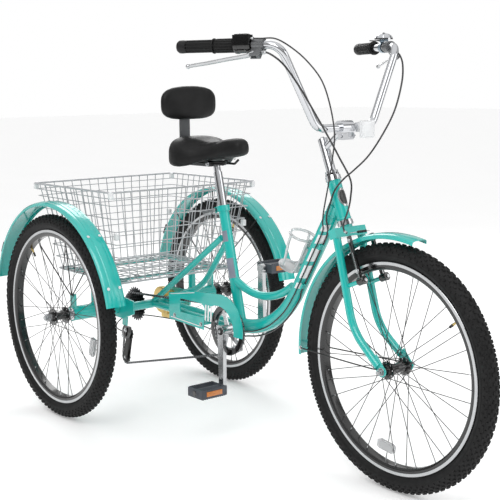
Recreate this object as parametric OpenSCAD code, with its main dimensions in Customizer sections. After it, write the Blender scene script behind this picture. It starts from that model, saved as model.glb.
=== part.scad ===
// Adult tricycle: step-through frame, one steered front wheel, two rear wheels
// on a live axle, 7-speed freewheel drive, wire basket, padded saddle and backrest.
// X points forward, Y to the rider's left, Z up; origin on the ground, mid-length.

/* [Wheels] */
// Distance between the front axle and the rear axle
wheelbase = 1178; // [1150:1:1200]
// Distance between the centre planes of the two rear wheels
track = 680; // [670:1:700]
// Outer radius of every tyre
tyre_r = 333.5; // [331:0.5:336]
// Width of a tyre
tyre_w = 54; // [50:1:56]
// Radius of the rim where the tyre sits
rim_r = 284; // [282:0.5:285]
// Number of spokes in a wheel
spoke_count = 36; // [28:4:36]
// Diameter of a spoke
spoke_d = 2; // [1.8:0.1:2.2]

/* [Frame] */
// Angle of the head tube above the horizontal
head_angle = 68; // [67:0.5:69]
// Length of the head tube
head_len = 113; // [108:1:118]
// Angle between the seat tube and the vertical
seat_angle = 13.45; // [13:0.05:14]
// Length of the seat tube from the crank centre
seat_tube_len = 378; // [370:1:385]
// Diameter of the down tube
down_tube_d = 44; // [40:1:46]
// Diameter of the seat tube
seat_tube_d = 32; // [31:0.5:34]
// Diameter of the rear axle
axle_d = 17; // [16:0.5:18]

/* [Drive] */
// Crank centre ahead of the rear axle
bb_x = 535; // [530:1:540]
// Crank centre above the ground
bb_z = 335; // [332:1:338]
// Length of a crank arm
crank_len = 175; // [170:1:176]
// Teeth on the chainring
ring_teeth = 36; // [34:1:36]
// Teeth on the sprocket that carries the chain
cog_teeth = 20; // [20:1:20]
// Chain line, to the right of the centre plane
chain_y = 53; // [53:1:53]

/* [Seat] */
// Diameter of the seat post
post_d = 27.2; // [27:0.1:27.2]
// Width of the saddle
saddle_w = 244; // [230:2:250]
// Width of the backrest pad
back_w = 216; // [200:2:220]

/* [Handlebar] */
// Diameter of the handlebar tube
bar_d = 22.2; // [22:0.1:22.4]
// Distance between the two grip ends
bar_w = 666; // [650:2:680]
// Height of the grips above the ground
bar_z = 1175; // [1165:1:1185]

/* [Basket] */
// Width of the basket at its rim
basket_w = 570; // [560:2:576]
// Length of the basket at its rim
basket_l = 482; // [470:2:490]
// Height of the basket
basket_h = 295; // [280:1:300]
// Side of a basket wire
wire = 3; // [2.5:0.5:4]

/* [Hidden] */
$fn = 48;

teal = "mediumturquoise";
play = 0.05;
gap = 0.3;
// How far a straight tube runs into a bend, and how much thicker a bend is.
lap = 0.5;
skin = 0.1;

// Places, measured from the rear axle, later moved so that the origin is mid-length.
fender_r = 375;
fender_a0 = 13;
fender_a1 = 167;
front_fender_r = 358;
rear_reach = fender_r * cos(180 - fender_a1);
rear_x = -(wheelbase + tyre_r - rear_reach) / 2;
wheel_y = track / 2;
lean = head_angle - 90;
head_low = [985, 0, 707];
bb = [bb_x, 0, bb_z];
front_hub_at = [wheelbase, 0, tyre_r];

// Drive sizes.
link = 12.7;
ring_r = link * ring_teeth / 360 * 180 / PI;
cog_r = link * cog_teeth / 360 * 180 / PI;
pulley_r = link * 11 / 360 * 180 / PI;
chain_h = 8;
chain_w = 6;
top_pulley = [-22, 228];
low_pulley = [-45, 140];
cogs = [28, 24, 22, 20, 18, 16, 14];
cog_gap = 5;

// Handlebar corners on the right-hand side; the left is their mirror image.
bar_mid = [984, 0, 958];
bar_low = [984, -102, 958];
bar_top = [969, -215, bar_z];
bar_end = [700, -bar_w / 2, bar_z];
grip_angle = atan2(bar_end[1] - bar_top[1], bar_end[0] - bar_top[0]);
grip_run = norm(bar_end - bar_top);
lever_tilt = -50;

// Places along the grip axis, from the bar's upper corner.
clamp_s = 42;
shifter_s = 76;
twist_s = 124;
grip_s = 186;

// Brake arms: pivots in the steering frame.
boss_x = 43;
boss_s = -176;
boss_y = 42;
arm_len = 124;

// Cable routes as lists of points, in the order in which each cable runs.
gear_route = [
  [909, -263, 1191], [942, -253, 1190], [980, -237, 1188], [1005, -205, 1165],
  [1015, -160, 1130], [1017, -112, 1080], [1015, -80, 1010], [1006, -58, 940],
  [990, -50, 880], [975, -48, 820], [960, -46, 770], [948, -44, 730],
  [936, -36, 700], [924, -25, 674], [887, -24, 614], [845, -24, 546],
  [813, -24, 494], [803, -24, 478], [759, -24, 422], [694, -24, 372],
  [629, -24, 344], [570, -24, 331], [545, -24, 308], [515, -25, 304],
  [440, -28, 310], [330, -29, 318], [220, -29, 312], [100, -29, 304],
  [20, -29, 296], [-50, -30, 286], [-84, -36, 272], [-98, -52, 254],
  [-88, -65, 241], [-62, -70, 236], [-40, -70, 235]
];
rear_brake_route = [
  [939, 247, 1154.5], [957, 239, 1152], [985, 222, 1125], [1003, 200, 1075],
  [1010, 165, 1000], [1008, 120, 935], [1000, 75, 880], [993, 30, 845],
  [985, -5, 820], [975, -28, 790], [962, -34, 750], [948, -33, 715],
  [932, -14, 668], [895, -12, 608], [853, -12, 540], [821, -12, 488],
  [817, -12, 470], [796, -12, 441], [770, -12, 411], [740, -12, 384], [702, -12, 358],
  [661, -12, 338], [617, -12, 324], [572, -12, 316], [545, -10, 308], [515, -2, 304], [440, 12, 306],
  [340, 40, 308], [240, 60, 300], [150, 72, 290], [90, 73, 284], [62, 73, 280]
];
front_brake_route = [
  [939, -247, 1154.5], [957, -239, 1152], [985, -217, 1125], [1005, -182, 1070],
  [1016, -137, 1000], [1022, -97, 940], [1024, -56, 880], [1024, -16, 820],
  [1026, -18, 775], [1029, -30, 742], [1034, -48, 716], [1040, -58, 700], [1043, -56, 689], [1044, -49, 684]
];
cable_d = 5;
shift_d = 4;

// ---- Helpers --------------------------------------------------------------

module place() translate([rear_x, 0, 0]) children();

// Turns local Z to the steering axis, at the lower end of the head tube.
module steering() place() translate(head_low) rotate([0, lean, 0]) children();

// Turns local Z to the seat tube axis, at the crank centre.
module seat_axis() place() translate(bb) rotate([0, -seat_angle, 0]) children();

// Turns local X along the right grip, s from the bar's upper corner.
module on_grip(s) place() translate(bar_top) rotate([0, 0, grip_angle]) translate([s, 0, 0]) children();

module both_sides() {
  children();
  mirror([0, 1, 0]) children();
}

// A round bar between two points.
module bar(p, q, d) {
  v = q - p;
  translate(p) rotate([0, acos(v[2] / norm(v)), atan2(v[1], v[0])]) cylinder(d = d, h = norm(v));
}

// A plate in the XZ plane, from y0 towards the right-hand side.
module plate(y0, t) translate([0, y0, 0]) rotate([90, 0, 0]) linear_extrude(t) children();

// A cylinder or tube along Y, centred on a point of the XZ plane.
module shaft(x, z, y0, y1, r) translate([x, y1, z]) rotate([90, 0, 0]) cylinder(r = r, h = y1 - y0);

function unit(v) = v / norm(v);

// One bend of a tube: a torus piece that rounds the corner at b.
module bend(a, b, c, r, d) {
  u = unit(a - b);
  w = unit(c - b);
  half = acos(u * w) / 2;
  mid = b + unit(u + w) * r / sin(half);
  start = b + u * r / tan(half);
  ex = unit(start - mid);
  ez = unit(cross(ex, -u));
  ey = cross(ez, ex);
  multmatrix([
    [ex[0], ey[0], ez[0], mid[0]],
    [ex[1], ey[1], ez[1], mid[1]],
    [ex[2], ey[2], ez[2], mid[2]],
    [0, 0, 0, 1]
  ]) rotate_extrude(angle = 180 - 2 * half, $fn = 96) translate([r, 0]) circle(d = d + skin, $fn = 48);
}

// The straight length that a bend takes from each side of its corner.
function setback(a, b, c, r) = r / tan(acos(unit(a - b) * unit(c - b)) / 2);

// A tube along a list of points, with every inner corner rounded to radius r.
module bent_tube(pts, r, d) {
  n = len(pts);
  for (i = [0 : n - 2]) {
    u = unit(pts[i + 1] - pts[i]);
    s0 = i == 0 ? 0 : setback(pts[i - 1], pts[i], pts[i + 1], r) - lap;
    s1 = i == n - 2 ? 0 : setback(pts[i], pts[i + 1], pts[i + 2], r) - lap;
    bar(pts[i] + u * s0, pts[i + 1] - u * s1, d);
  }
  for (i = [1 : n - 2]) bend(pts[i - 1], pts[i], pts[i + 1], r, d);
}

// A cable: rings of 8 points swept along its route, each ring square to it.
module cable(route, d) {
  n = len(route);
  side = 8;
  rings = [
    for (i = [0 : n - 1])
      let (t = unit(route[min(i + 1, n - 1)] - route[max(i - 1, 0)]))
      let (a = unit(cross(t, [0, 0.37, 0.93])))
      let (b = cross(t, a))
      for (k = [0 : side - 1]) route[i] + (a * cos(360 * k / side) + b * sin(360 * k / side)) * d / 2
  ];
  walls = [
    for (i = [0 : n - 2]) for (k = [0 : side - 1])
      let (k2 = (k + 1) % side)
      each [
        [i * side + k, i * side + k2, (i + 1) * side + k2],
        [i * side + k, (i + 1) * side + k2, (i + 1) * side + k]
      ]
  ];
  ends = [
    for (k = [1 : side - 2])
      each [[0, k + 1, k], [(n - 1) * side, (n - 1) * side + k, (n - 1) * side + k + 1]]
  ];
  polyhedron(points = rings, faces = concat(walls, ends));
}

// ---- Wheels ---------------------------------------------------------------

// Puts a wheel part, made around Z, at a hub point with its axis along Y.
module at_hub(p) place() translate(p) rotate([90, 0, 0]) children();

module tyre_shape() {
  section = tyre_w / 2;
  rotate_extrude($fn = 180) difference() {
    translate([tyre_r - section, 0]) circle(section, $fn = 48);
    translate([tyre_r - section, 0]) circle(section - 4, $fn = 48);
    translate([0, -tyre_w]) square([rim_r, 2 * tyre_w]);
  }
}

module rim_shape() {
  rotate_extrude($fn = 180) polygon([
    [rim_r - 22, -12], [rim_r - 16, -16], [rim_r, -16], [rim_r, -12.5], [rim_r - 14, -12.5],
    [rim_r - 19, -9], [rim_r - 19, 9], [rim_r - 14, 12.5], [rim_r, 12.5], [rim_r, 16],
    [rim_r - 16, 16], [rim_r - 22, 12]
  ]);
}

// Spokes in a three-cross lacing between flanges at z0 and z1.
module spoke_set(z0, z1, flange_r) {
  per_side = spoke_count / 2;
  for (s = [0, 1]) for (k = [0 : per_side - 1]) {
    lead = k % 2 == 0 ? 1 : -1;
    a = 360 / per_side * (k + s / 2);
    z = s == 0 ? z0 : z1;
    out = s == 0 ? -1 : 1;
    hub_z = z + out * lead * 1.8;
    far = a + lead * 62;
    bar(
      [flange_r * cos(a), flange_r * sin(a), hub_z],
      [(rim_r - 20) * cos(far), (rim_r - 20) * sin(far), out * 5], spoke_d);
  }
}

// A hub shell with two flanges, turned around Z.
module hub_shape(z0, z1, flange_r, bore_r) {
  difference() {
    rotate_extrude() polygon([
      [0, z0 - 9], [14, z0 - 9], [16, z0 - 2], [flange_r, z0 - 2], [flange_r, z0 + 2],
      [15, z0 + 5], [13, (z0 + z1) / 2], [15, z1 - 5], [flange_r, z1 - 2], [flange_r, z1 + 2],
      [16, z1 + 2], [14, z1 + 9], [0, z1 + 9]
    ]);
    translate([0, 0, z0 - 20]) cylinder(r = bore_r, h = z1 - z0 + 40);
  }
}

right_at = [0, -wheel_y, tyre_r];
left_at = [0, wheel_y, tyre_r];
// Flange places along the hub axis, measured outboard on the right-hand wheel.
in_flange = -27;
out_flange = 19;

module front_tyre() color("dimgray") at_hub(front_hub_at) tyre_shape();
module front_rim() color("black") at_hub(front_hub_at) rim_shape();
module front_spokes() color("gray") at_hub(front_hub_at) spoke_set(-32, 32, 21);
module front_hub() color("black") at_hub(front_hub_at) hub_shape(-32, 32, 24, 5 + play);
module right_tyre() color("dimgray") at_hub(right_at) tyre_shape();
module right_rim() color("black") at_hub(right_at) rim_shape();
module right_spokes() color("gray") at_hub(right_at) spoke_set(in_flange, out_flange, 24);
module right_hub() color("black") at_hub(right_at) hub_shape(in_flange, out_flange, 27, axle_d / 2);
module left_tyre() color("dimgray") at_hub(left_at) tyre_shape();
module left_rim() color("black") at_hub(left_at) rim_shape();
module left_spokes() color("gray") at_hub(left_at) spoke_set(-out_flange, -in_flange, 24);
module left_hub() color("black") at_hub(left_at) hub_shape(-out_flange, -in_flange, 27, axle_d / 2 + play);

module front_axle() color("silver") at_hub(front_hub_at) {
  cylinder(d = 10, h = 140, center = true);
  for (s = [-1, 1]) {
    translate([0, 0, s * 46]) cylinder(d = 17, h = 8 - 2 * gap, center = true);
    translate([0, 0, s * 58.5]) cylinder(d = 17.3, h = 8, center = true, $fn = 6);
  }
}

module rear_axle() color("silver") place() {
  shaft(0, tyre_r, -388, 388, axle_d / 2);
  for (s = [-1, 1]) translate([0, s * 376, tyre_r]) rotate([90, 0, 0])
    cylinder(d = 27, h = 13, center = true, $fn = 6);
}

module brake_drum() color("goldenrod") place() difference() {
  union() {
    shaft(0, tyre_r, 62, 84, 42);
    shaft(0, tyre_r, 40, 100, 18);
  }
  shaft(0, tyre_r, 0, 110, axle_d / 2);
}

module brake_band() color("goldenrod") place() difference() {
  union() {
    shaft(0, tyre_r, 65, 81, 46);
    translate([0, 66, tyre_r - 60]) cube([60, 14, 16]);
    shaft(0, tyre_r, 100 + gap, 111.7, 30);
    translate([20, 66, tyre_r - 46]) cube([14, 45, 26]);
  }
  shaft(0, tyre_r, 60, 99, 42.5);
  shaft(0, tyre_r, 99, 120, axle_d / 2 + 2);
}

// ---- Frame ----------------------------------------------------------------

head_mid = [955, 0, 747];
down_corner = [711, 0, 352];
down_r = 300;
brace_mid = [625.8, 0, 690.5];
brace_r = 242;
cross_at = [82, 345];
// The bottle cage's place on the down tube's axis, and the tube's lean there.
cage_at = [848, 0, 574];
cage_lean = 31.7;

module bb_shell() shaft(bb_x, bb_z, -34, 34, 21);

module front_frame() color(teal) {
  difference() {
    union() {
      steering() cylinder(d = 38, h = head_len);
      seat_axis() cylinder(d = seat_tube_d, h = seat_tube_len);
      place() {
        bent_tube([head_mid, down_corner, [bb_x - 3, 0, 342]], down_r, down_tube_d);
        translate(brace_mid) rotate([90, 0, 0]) rotate([0, 0, 241])
          rotate_extrude(angle = 66, $fn = 96) translate([brace_r, 0]) circle(d = 25);
        bb_shell();
        // Seat stays: the right one straight, the left one dipped under its chord.
        bar([449, -8, 606], [cross_at[0] + 6, -25, cross_at[1] + 8], 19);
        bent_tube([[452, 8, 590], [300, 24, 425], [cross_at[0] + 6, 25, cross_at[1] + 8]], 260, 19);
        // Chain stays.
        both_sides() bar([bb_x - 6, -18, bb_z], [cross_at[0] + 6, -25, cross_at[1]], 22);
        shaft(cross_at[0], cross_at[1], -112, 112, 15);
      }
    }
    place() {
      shaft(bb_x, bb_z, -60, 60, 17.4);
      shaft(cross_at[0], cross_at[1], -120, 120, 12);
    }
    steering() translate([0, 0, -60]) cylinder(r = 15.5, h = head_len + 120);
    seat_axis() translate([0, 0, 24]) cylinder(d = post_d + 2 * play, h = seat_tube_len);
  }
}

// Bearing rings of the headset, the crank spindle and the rear axle.
module ring(z, h, r_out, r_in) translate([0, 0, z]) difference() {
  cylinder(r = r_out, h = h);
  translate([0, 0, -1]) cylinder(r = r_in, h = h + 2);
}

module bearing_cups() color("silver") {
  steering() {
    ring(-14, 14, 21.5, 12.7 + play);
    ring(head_len, 14, 21.5, 12.7 + play);
  }
  place() for (s = [-1, 1]) {
    translate([bb_x, s * 31, bb_z]) rotate([90, 0, 0]) ring(-7, 14, 17.4, 8 + play);
    translate([0, s * 284, tyre_r]) rotate([90, 0, 0]) ring(-6, 12, 20, axle_d / 2 + play);
    translate([0, s * 121, tyre_r]) rotate([90, 0, 0]) ring(-6, 12, 20, axle_d / 2 + play);
  }
}

module axle_housings() color(teal) place() difference() {
  union() {
    for (s = [-1, 1]) {
      y0 = s < 0 ? -290 : 112;
      // Axle housing, its end plate and the fender bracket over its outer end.
      shaft(0, tyre_r, y0, y0 + 178, 24);
      plate(s < 0 ? -112 : 118, 6) polygon([
        [-34, tyre_r - 34], [40, tyre_r - 34], [104, cross_at[1] - 22], [104, cross_at[1] + 22],
        [40, tyre_r + 40], [-34, tyre_r + 40]
      ]);
      translate([-14, s * 282 - 4, tyre_r]) cube([28, 8, 66]);
    }
    // Derailleur hanger, carried on a sleeve round the axle.
    shaft(0, tyre_r, -113, -76, 20);
    plate(-76, 4) polygon([[-16, tyre_r], [-26, 262], [2, 262], [16, tyre_r]]);
  }
  shaft(0, tyre_r, -300, 300, 20);
  shaft(0, tyre_r, -120, -70, 14);
}

// Two posts that stand on the axle housings, and the rails under the basket.
module basket_rack() color(teal) place() difference() {
  union() {
    for (s = [-1, 1]) {
      translate([0, s * 200, tyre_r]) cylinder(d = 26, h = basket_z - tyre_r - 3);
      translate([-180, s * 200 - 15, basket_z - 6]) cube([375, 30, 6]);
    }
    for (x = [-150, 120]) translate([x, -190, basket_z - 5.5]) cube([30, 380, 5]);
  }
  shaft(0, tyre_r, -300, 300, 24);
}

module chain_guard() color(teal) place() {
  plate(-64, 3) difference() {
    union() {
      polygon([
        [240, 326], [240, 411], [377, 434], [515, 443], [515, 340], [430, 318]
      ]);
      intersection() {
        translate([515, 340]) circle(103, $fn = 96);
        translate([500, 322]) square([130, 130]);
      }
    }
    translate([500, 330]) circle(76, $fn = 96);
    translate([300, 356]) square([110, 45]);
    translate([410, 378.5]) circle(22.5);
  }
  for (p = [[270, 341], [412, 334]]) shaft(p[0], p[1], -64, -28, 5);
}

module seat_collar() color("black") seat_axis() difference() {
  union() {
    translate([0, 0, seat_tube_len - 16]) cylinder(d = seat_tube_d + 9, h = 18);
    translate([-32, -10, seat_tube_len - 16]) cube([16, 20, 18]);
  }
  translate([0, 0, seat_tube_len - 20]) cylinder(d = seat_tube_d, h = 20);
  translate([0, 0, seat_tube_len - 1]) cylinder(d = post_d + 2, h = 10);
  translate([-40, -1, seat_tube_len - 20]) cube([40, 2, 30]);
}

module seat_clamp_lever() color("silver") seat_axis() translate([-24, -17, seat_tube_len - 7]) {
  cylinder(d = 13, h = 12, center = true);
  translate([-56, -5, -4]) cube([52, 5, 8]);
}

// ---- Basket, fenders and bottle cage ----------------------------------------

basket_z = 455;
basket_x = 11;
floor_l = 405;
floor_w = 450;
cells_l = 9;
cells_w = 10;
cells_h = 6;

// A wire panel: a trapezium with a grid of openings, low edge on the X axis.
module wire_panel(low, high, h, cols, rows) {
  difference() {
    polygon([[-low / 2, 0], [low / 2, 0], [high / 2, h], [-high / 2, h]]);
    for (r = [0 : rows - 1]) for (c = [0 : cols - 1]) {
      y0 = wire + (h - wire) / rows * r;
      y1 = (h - wire) / rows * (r + 1);
      w0 = low + (high - low) * y0 / h - wire;
      w1 = low + (high - low) * y1 / h - wire;
      polygon([
        [w0 * (c / cols - 0.5) + wire / 2, y0], [w0 * ((c + 1) / cols - 0.5) - wire / 2, y0],
        [w1 * ((c + 1) / cols - 0.5) - wire / 2, y1], [w1 * (c / cols - 0.5) + wire / 2, y1]
      ]);
    }
  }
}

module basket() color("whitesmoke") place() translate([basket_x, 0, basket_z]) {
  flare_x = atan((basket_l - floor_l) / 2 / basket_h);
  flare_y = atan((basket_w - floor_w) / 2 / basket_h);
  slant_x = basket_h / cos(flare_x);
  slant_y = basket_h / cos(flare_y);
  inset = 4 * wire;
  linear_extrude(wire) translate([0, -floor_w / 2 + wire])
    wire_panel(floor_l - wire, floor_l - wire, floor_w - 2 * wire, cells_l, cells_w);
  for (s = [0, 1]) rotate([0, 0, 180 * s]) {
    translate([floor_l / 2, 0, 0]) rotate([0, flare_x, 0]) rotate([90, 0, 90])
      linear_extrude(wire) wire_panel(floor_w, basket_w, slant_x, cells_w, cells_h);
    translate([0, -floor_w / 2, 0]) rotate([flare_y, 0, 0]) rotate([90, 0, 0])
      linear_extrude(wire) wire_panel(floor_l - inset, basket_l - inset, slant_y, cells_l, cells_h);
  }
}

// A mudguard strip with turned-down edges, around Z from angle a0 to a1.
module fender_shape(r, w, a0, a1) rotate([0, 0, a0]) rotate_extrude(angle = a1 - a0, $fn = 180)
  polygon([
    [r - 12, -w / 2], [r - 4, -w / 2], [r, -w / 2 + 9], [r, w / 2 - 9], [r - 4, w / 2],
    [r - 12, w / 2], [r - 12, w / 2 - 2], [r - 5.5, w / 2 - 2], [r - 2, w / 2 - 10],
    [r - 2, 10 - w / 2], [r - 5.5, 2 - w / 2], [r - 12, 2 - w / 2]
  ]);

module right_fender() color(teal) at_hub(right_at) fender_shape(fender_r, 64, fender_a0, fender_a1);
module left_fender() color(teal) at_hub(left_at) fender_shape(fender_r, 64, fender_a0, fender_a1);

// Three stay rods for each rear fender, and a reflector behind each.
module fender_fittings() color("black") place() for (s = [-1, 1]) {
  for (a = [50, 92, 132])
    bar([a == 92 ? 0 : (90 - a) / 8, s * 288, tyre_r + 62],
      [(fender_r - 8) * cos(a), s * (wheel_y - 32), tyre_r + (fender_r - 8) * sin(a)], 4);
  translate([0, s * wheel_y, tyre_r]) rotate([0, -150, 0])
    translate([fender_r, -22, -20]) cube([14, 44, 40]);
}

// The cage: a ring, a back strip, two arms and a foot, on the down tube's upper side.
module bottle_cage() color("gainsboro") place() translate(cage_at) rotate([0, cage_lean, 0]) {
  translate([-34, -9, -66]) cube([4, 18, 132]);
  translate([-68, 0, 40]) difference() {
    cylinder(r = 38, h = 14);
    translate([0, 0, -1]) cylinder(r = 34, h = 16);
  }
  for (s = [-1, 1]) translate([-74, s * 36 - 2, -64]) cube([12, 4, 106]);
  translate([-102, -38, -68]) cube([72, 76, 5]);
  for (z = [-30, 30]) translate([-32, 0, z]) rotate([0, 90, 0]) cylinder(r = 5, h = 10 - gap);
}

module gear_cable() color("black") place() cable(gear_route, shift_d);
module rear_brake_cable() color("black") place() cable(rear_brake_route, cable_d);
module front_brake_cable() color("black") place() cable(front_brake_route, cable_d);

// ---- Seat -------------------------------------------------------------------

post_top = 485;
module seat_post() color("silver") seat_axis() {
  translate([0, 0, 180]) cylinder(d = post_d, h = post_top - 180);
  translate([0, 0, post_top]) cylinder(d = 22.2, h = 20);
}

saddle_z = 850;
module saddle_outline() {
  hull() {
    for (s = [-1, 1]) translate([334, s * (saddle_w / 2 - 62)]) circle(62, $fn = 32);
    translate([400, 0]) circle(70, $fn = 32);
  }
  hull() {
    translate([400, 0]) circle(70, $fn = 32);
    translate([541, 0]) circle(27, $fn = 32);
  }
}

module saddle() color("#222222") place() translate([0, 0, saddle_z]) linear_extrude(64) saddle_outline();

module saddle_rails() color("black") place() {
  both_sides() {
    bent_tube([[332, -22, saddle_z - 3.2], [345, -22, 834], [480, -22, 834], [498, -22, saddle_z - 3.2]], 12, 7);
    translate([305, -60, 835]) cylinder(r = 14, h = saddle_z - gap - 835);
  }
  translate([398, -34, 829]) cube([34, 68, 10]);
  translate([298, -70, 829]) cube([14, 140, 6]);
}

module backrest_post() color("gray") place() {
  translate([250, -19, 823.5]) cube([154, 38, 5.5]);
  translate([250, -19, 823.5]) cube([5, 38, 210]);
}

module backrest() color("#222222") place() translate([255, 0, 963]) {
  hull() for (s = [-1, 1]) for (z = [28, 84])
    translate([0, s * (back_w / 2 - 28), z]) rotate([0, 90, 0]) cylinder(r = 28, h = 50, $fn = 32);
}

// ---- Steering ---------------------------------------------------------------

module fork() color(teal) {
  difference() {
    union() {
      steering() {
        translate([0, 0, -20]) cylinder(r = 12.7, h = head_len + 20 + 14 + gap);
        translate([0, 0, -20]) cylinder(r = 17, h = 6 - gap);
        translate([-14, -57, -46]) cube([28, 114, 26]);
        for (s = [-1, 1]) translate([-10, s * boss_y, boss_s])
          rotate([0, 90, 0]) cylinder(r = 6, h = 58);
      }
      place() both_sides() {
        bent_tube([[1003, -46, 666], [1068, -48, 424], [1166, -52, 345]], 150, 22);
        plate(-50, 4) translate([wheelbase, tyre_r]) circle(14);
        plate(-50, 4) polygon([[1140, 352], [1158, 376], [1190, 340], [1172, 322]]);
      }
    }
    at_hub(front_hub_at) cylinder(r = 5 + play, h = 200, center = true);
    steering() translate([0, 0, 30]) cylinder(r = 11.1 + play, h = 200);
    at_hub(front_hub_at) cylinder(r = 40, h = 99.9, center = true);
  }
}

module front_fender() color(teal) {
  at_hub(front_hub_at) fender_shape(front_fender_r, 54, 77, 184);
  place() both_sides() bar([832, -27, 330], [1160, -56, 336], 4);
}

stem_top = 235;
module stem() color("silver") {
  difference() {
    union() {
      steering() {
        translate([0, 0, 50]) cylinder(r = 11.1, h = stem_top - 50);
        translate([0, 0, head_len + 28]) cylinder(r = 13.5, h = stem_top - head_len - 28);
      }
      place() {
        bar([914, 0, 902], [976, 0, 952], 17);
        shaft(bar_mid[0], bar_mid[2], -22, 22, 19);
        translate([bar_mid[0] - 3, -22, bar_mid[2] - 32]) cube([16, 44, 20]);
      }
    }
    place() shaft(bar_mid[0], bar_mid[2], -30, 30, 12.7);
  }
  steering() ring(head_len + 14 + gap, 14 - gap, 18, 12.7 + play);
}

module handlebar() color("silver") place() {
  both_sides() bent_tube([[bar_low[0], -20, bar_low[2]], bar_low, bar_top, bar_end], 42, bar_d);
  shaft(bar_mid[0], bar_mid[2], -22, 22, 12.7);
}

// Parts on the grips: round parts leave the bar's own diameter free.
module sleeve(s0, s1, r) on_grip(s0) rotate([0, 90, 0]) difference() {
  cylinder(r = r, h = s1 - s0);
  translate([0, 0, -1]) cylinder(d = bar_d, h = s1 - s0 + 2);
}

module handlebar_grips() color("#333333") {
  sleeve(grip_s, grip_run + 3, 17);
  mirror([0, 1, 0]) sleeve(grip_s - 20, grip_run + 3, 17);
}

module twist_grip() color("#333333") on_grip(twist_s + gap) rotate([0, 90, 0]) difference() {
  cylinder(r = 18, h = grip_s - twist_s - 2 * gap);
  translate([0, 0, -1]) cylinder(d = bar_d + 2 * play, h = 100);
}

module shifter_housing() color("black") {
  difference() {
    union() {
      sleeve(shifter_s, twist_s, 21);
      on_grip(shifter_s) cube([46, 26, 26]);
    }
    on_grip(shifter_s - 2) rotate([0, 90, 0]) cylinder(d = bar_d, h = 60);
  }
}

lever_reach = 30;
pivot_s = clamp_s + 22;

module lever_frame() on_grip(0) rotate([lever_tilt, 0, 0]) children();

module lever_clamps() color("slategray") both_sides() {
  sleeve(clamp_s, shifter_s - 3, 16);
  lever_frame() difference() {
    translate([clamp_s + 1, 11, -7]) cube([29, lever_reach, 14]);
    translate([pivot_s - 11, lever_reach - 12, -4.3]) cube([60, 60, 8.6]);
    rotate([0, 90, 0]) cylinder(r = 15, h = 100);
  }
}

module lever_shape() lever_frame() {
  translate([pivot_s, lever_reach, -4]) cylinder(r = 7, h = 8);
  translate([0, 0, -4]) linear_extrude(8) polygon([
    [pivot_s, lever_reach - 6], [pivot_s + 40, lever_reach + 4], [pivot_s + 178, lever_reach + 34],
    [pivot_s + 176, lever_reach + 42], [pivot_s + 40, lever_reach + 16], [pivot_s, lever_reach + 7]
  ]);
  translate([pivot_s + 178, lever_reach + 38, -6]) cylinder(r = 6, h = 12);
}

module right_brake_lever() color("silver") lever_shape();
module left_brake_lever() color("silver") mirror([0, 1, 0]) lever_shape();

bell_s = 96;
module bell_base() color("silver") mirror([0, 1, 0]) {
  sleeve(bell_s - 9, bell_s + 9, 15);
  on_grip(bell_s) {
    translate([0, 0, 14]) cylinder(r = 8, h = 8);
    translate([0, 0, 22]) rotate_extrude() polygon([
      [0, 0], [26, 0], [26, 4], [23, 10], [16, 15], [7, 17.5], [0, 18]
    ]);
  }
}
module bell_lever() color("silver") mirror([0, 1, 0]) on_grip(bell_s) {
  translate([0, -16, 17]) cylinder(r = 3.5, h = 4.5);
  translate([-4, -42, 17]) cube([8, 24, 3]);
}

module front_reflector() color("white") place() {
  translate([1012, 28, 930]) cube([12, 46, 46]);
  difference() {
    translate([984, 40, 945]) cube([28, 14, 26]);
    shaft(bar_mid[0], bar_mid[2], 20, 80, bar_d / 2);
  }
}

// Brake arm in the steering frame, on a boss of the fork.
module brake_arm_shape() steering() translate([boss_x, -boss_y, boss_s]) {
  difference() {
    union() {
      translate([-7, 0, 0]) rotate([0, 90, 0]) cylinder(r = 11, h = 22);
      translate([-5, -4, 0]) cube([10, 8, arm_len]);
    }
    translate([-12, 0, 0]) rotate([0, 90, 0]) cylinder(r = 6 + play, h = 12 + 1 + 5);
  }
  // Pad and its post.
  translate([-1, 4, 28]) rotate([-90, 0, 0]) cylinder(r = 3.5, h = 10);
  translate([-18, 14, 24]) cube([52, 9.5, 9]);
}
module right_brake_arm() color("#222222") brake_arm_shape();
module left_brake_arm() color("#222222") mirror([0, 1, 0]) brake_arm_shape();

// ---- Drive ------------------------------------------------------------------

module chainring() color("silver") place() for (y = [[-chain_y - 1.5, 3, ring_r - 4.4], [-chain_y - 7, 2, ring_r + 5]])
  difference() {
    shaft(bb_x, bb_z, y[0], y[0] + y[1], y[2]);
    shaft(bb_x, bb_z, y[0] - 1, y[0] + y[1] + 1, 54);
  }

// A crank arm hanging down on the right-hand side, with its pedal spindle.
arm_y = -73;
arm_t = 13;
module crank_shape() translate([bb_x, 0, bb_z]) {
  difference() {
    union() {
      shaft(0, 0, -86, -55, 17);
      plate(arm_y, arm_t) {
        polygon([[-14, 0], [14, 0], [11, -crank_len], [-11, -crank_len]]);
        translate([0, -crank_len]) circle(14);
      }
    }
    shaft(0, 0, -90, -40, 8);
  }
  shaft(0, -crank_len, -186, -85, 7);
}

module right_crank() color("silver") place() {
  crank_shape();
  translate([bb_x, 0, bb_z]) plate(-54.5, 3.5) difference() {
    for (k = [0 : 4]) rotate(90 + 72 * k) polygon([[-9, 14], [9, 14], [6, 62], [-6, 62]]);
    circle(16);
  }
}

// The left arm, which carries the spindle through the frame.
module left_crank() color("silver") place() {
  translate([2 * bb_x, 0, 2 * bb_z]) rotate([0, 180, 0]) mirror([0, 1, 0]) crank_shape();
  shaft(bb_x, bb_z, -84, 84, 8);
  shaft(bb_x, bb_z, -22, 22, 10);
}

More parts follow.
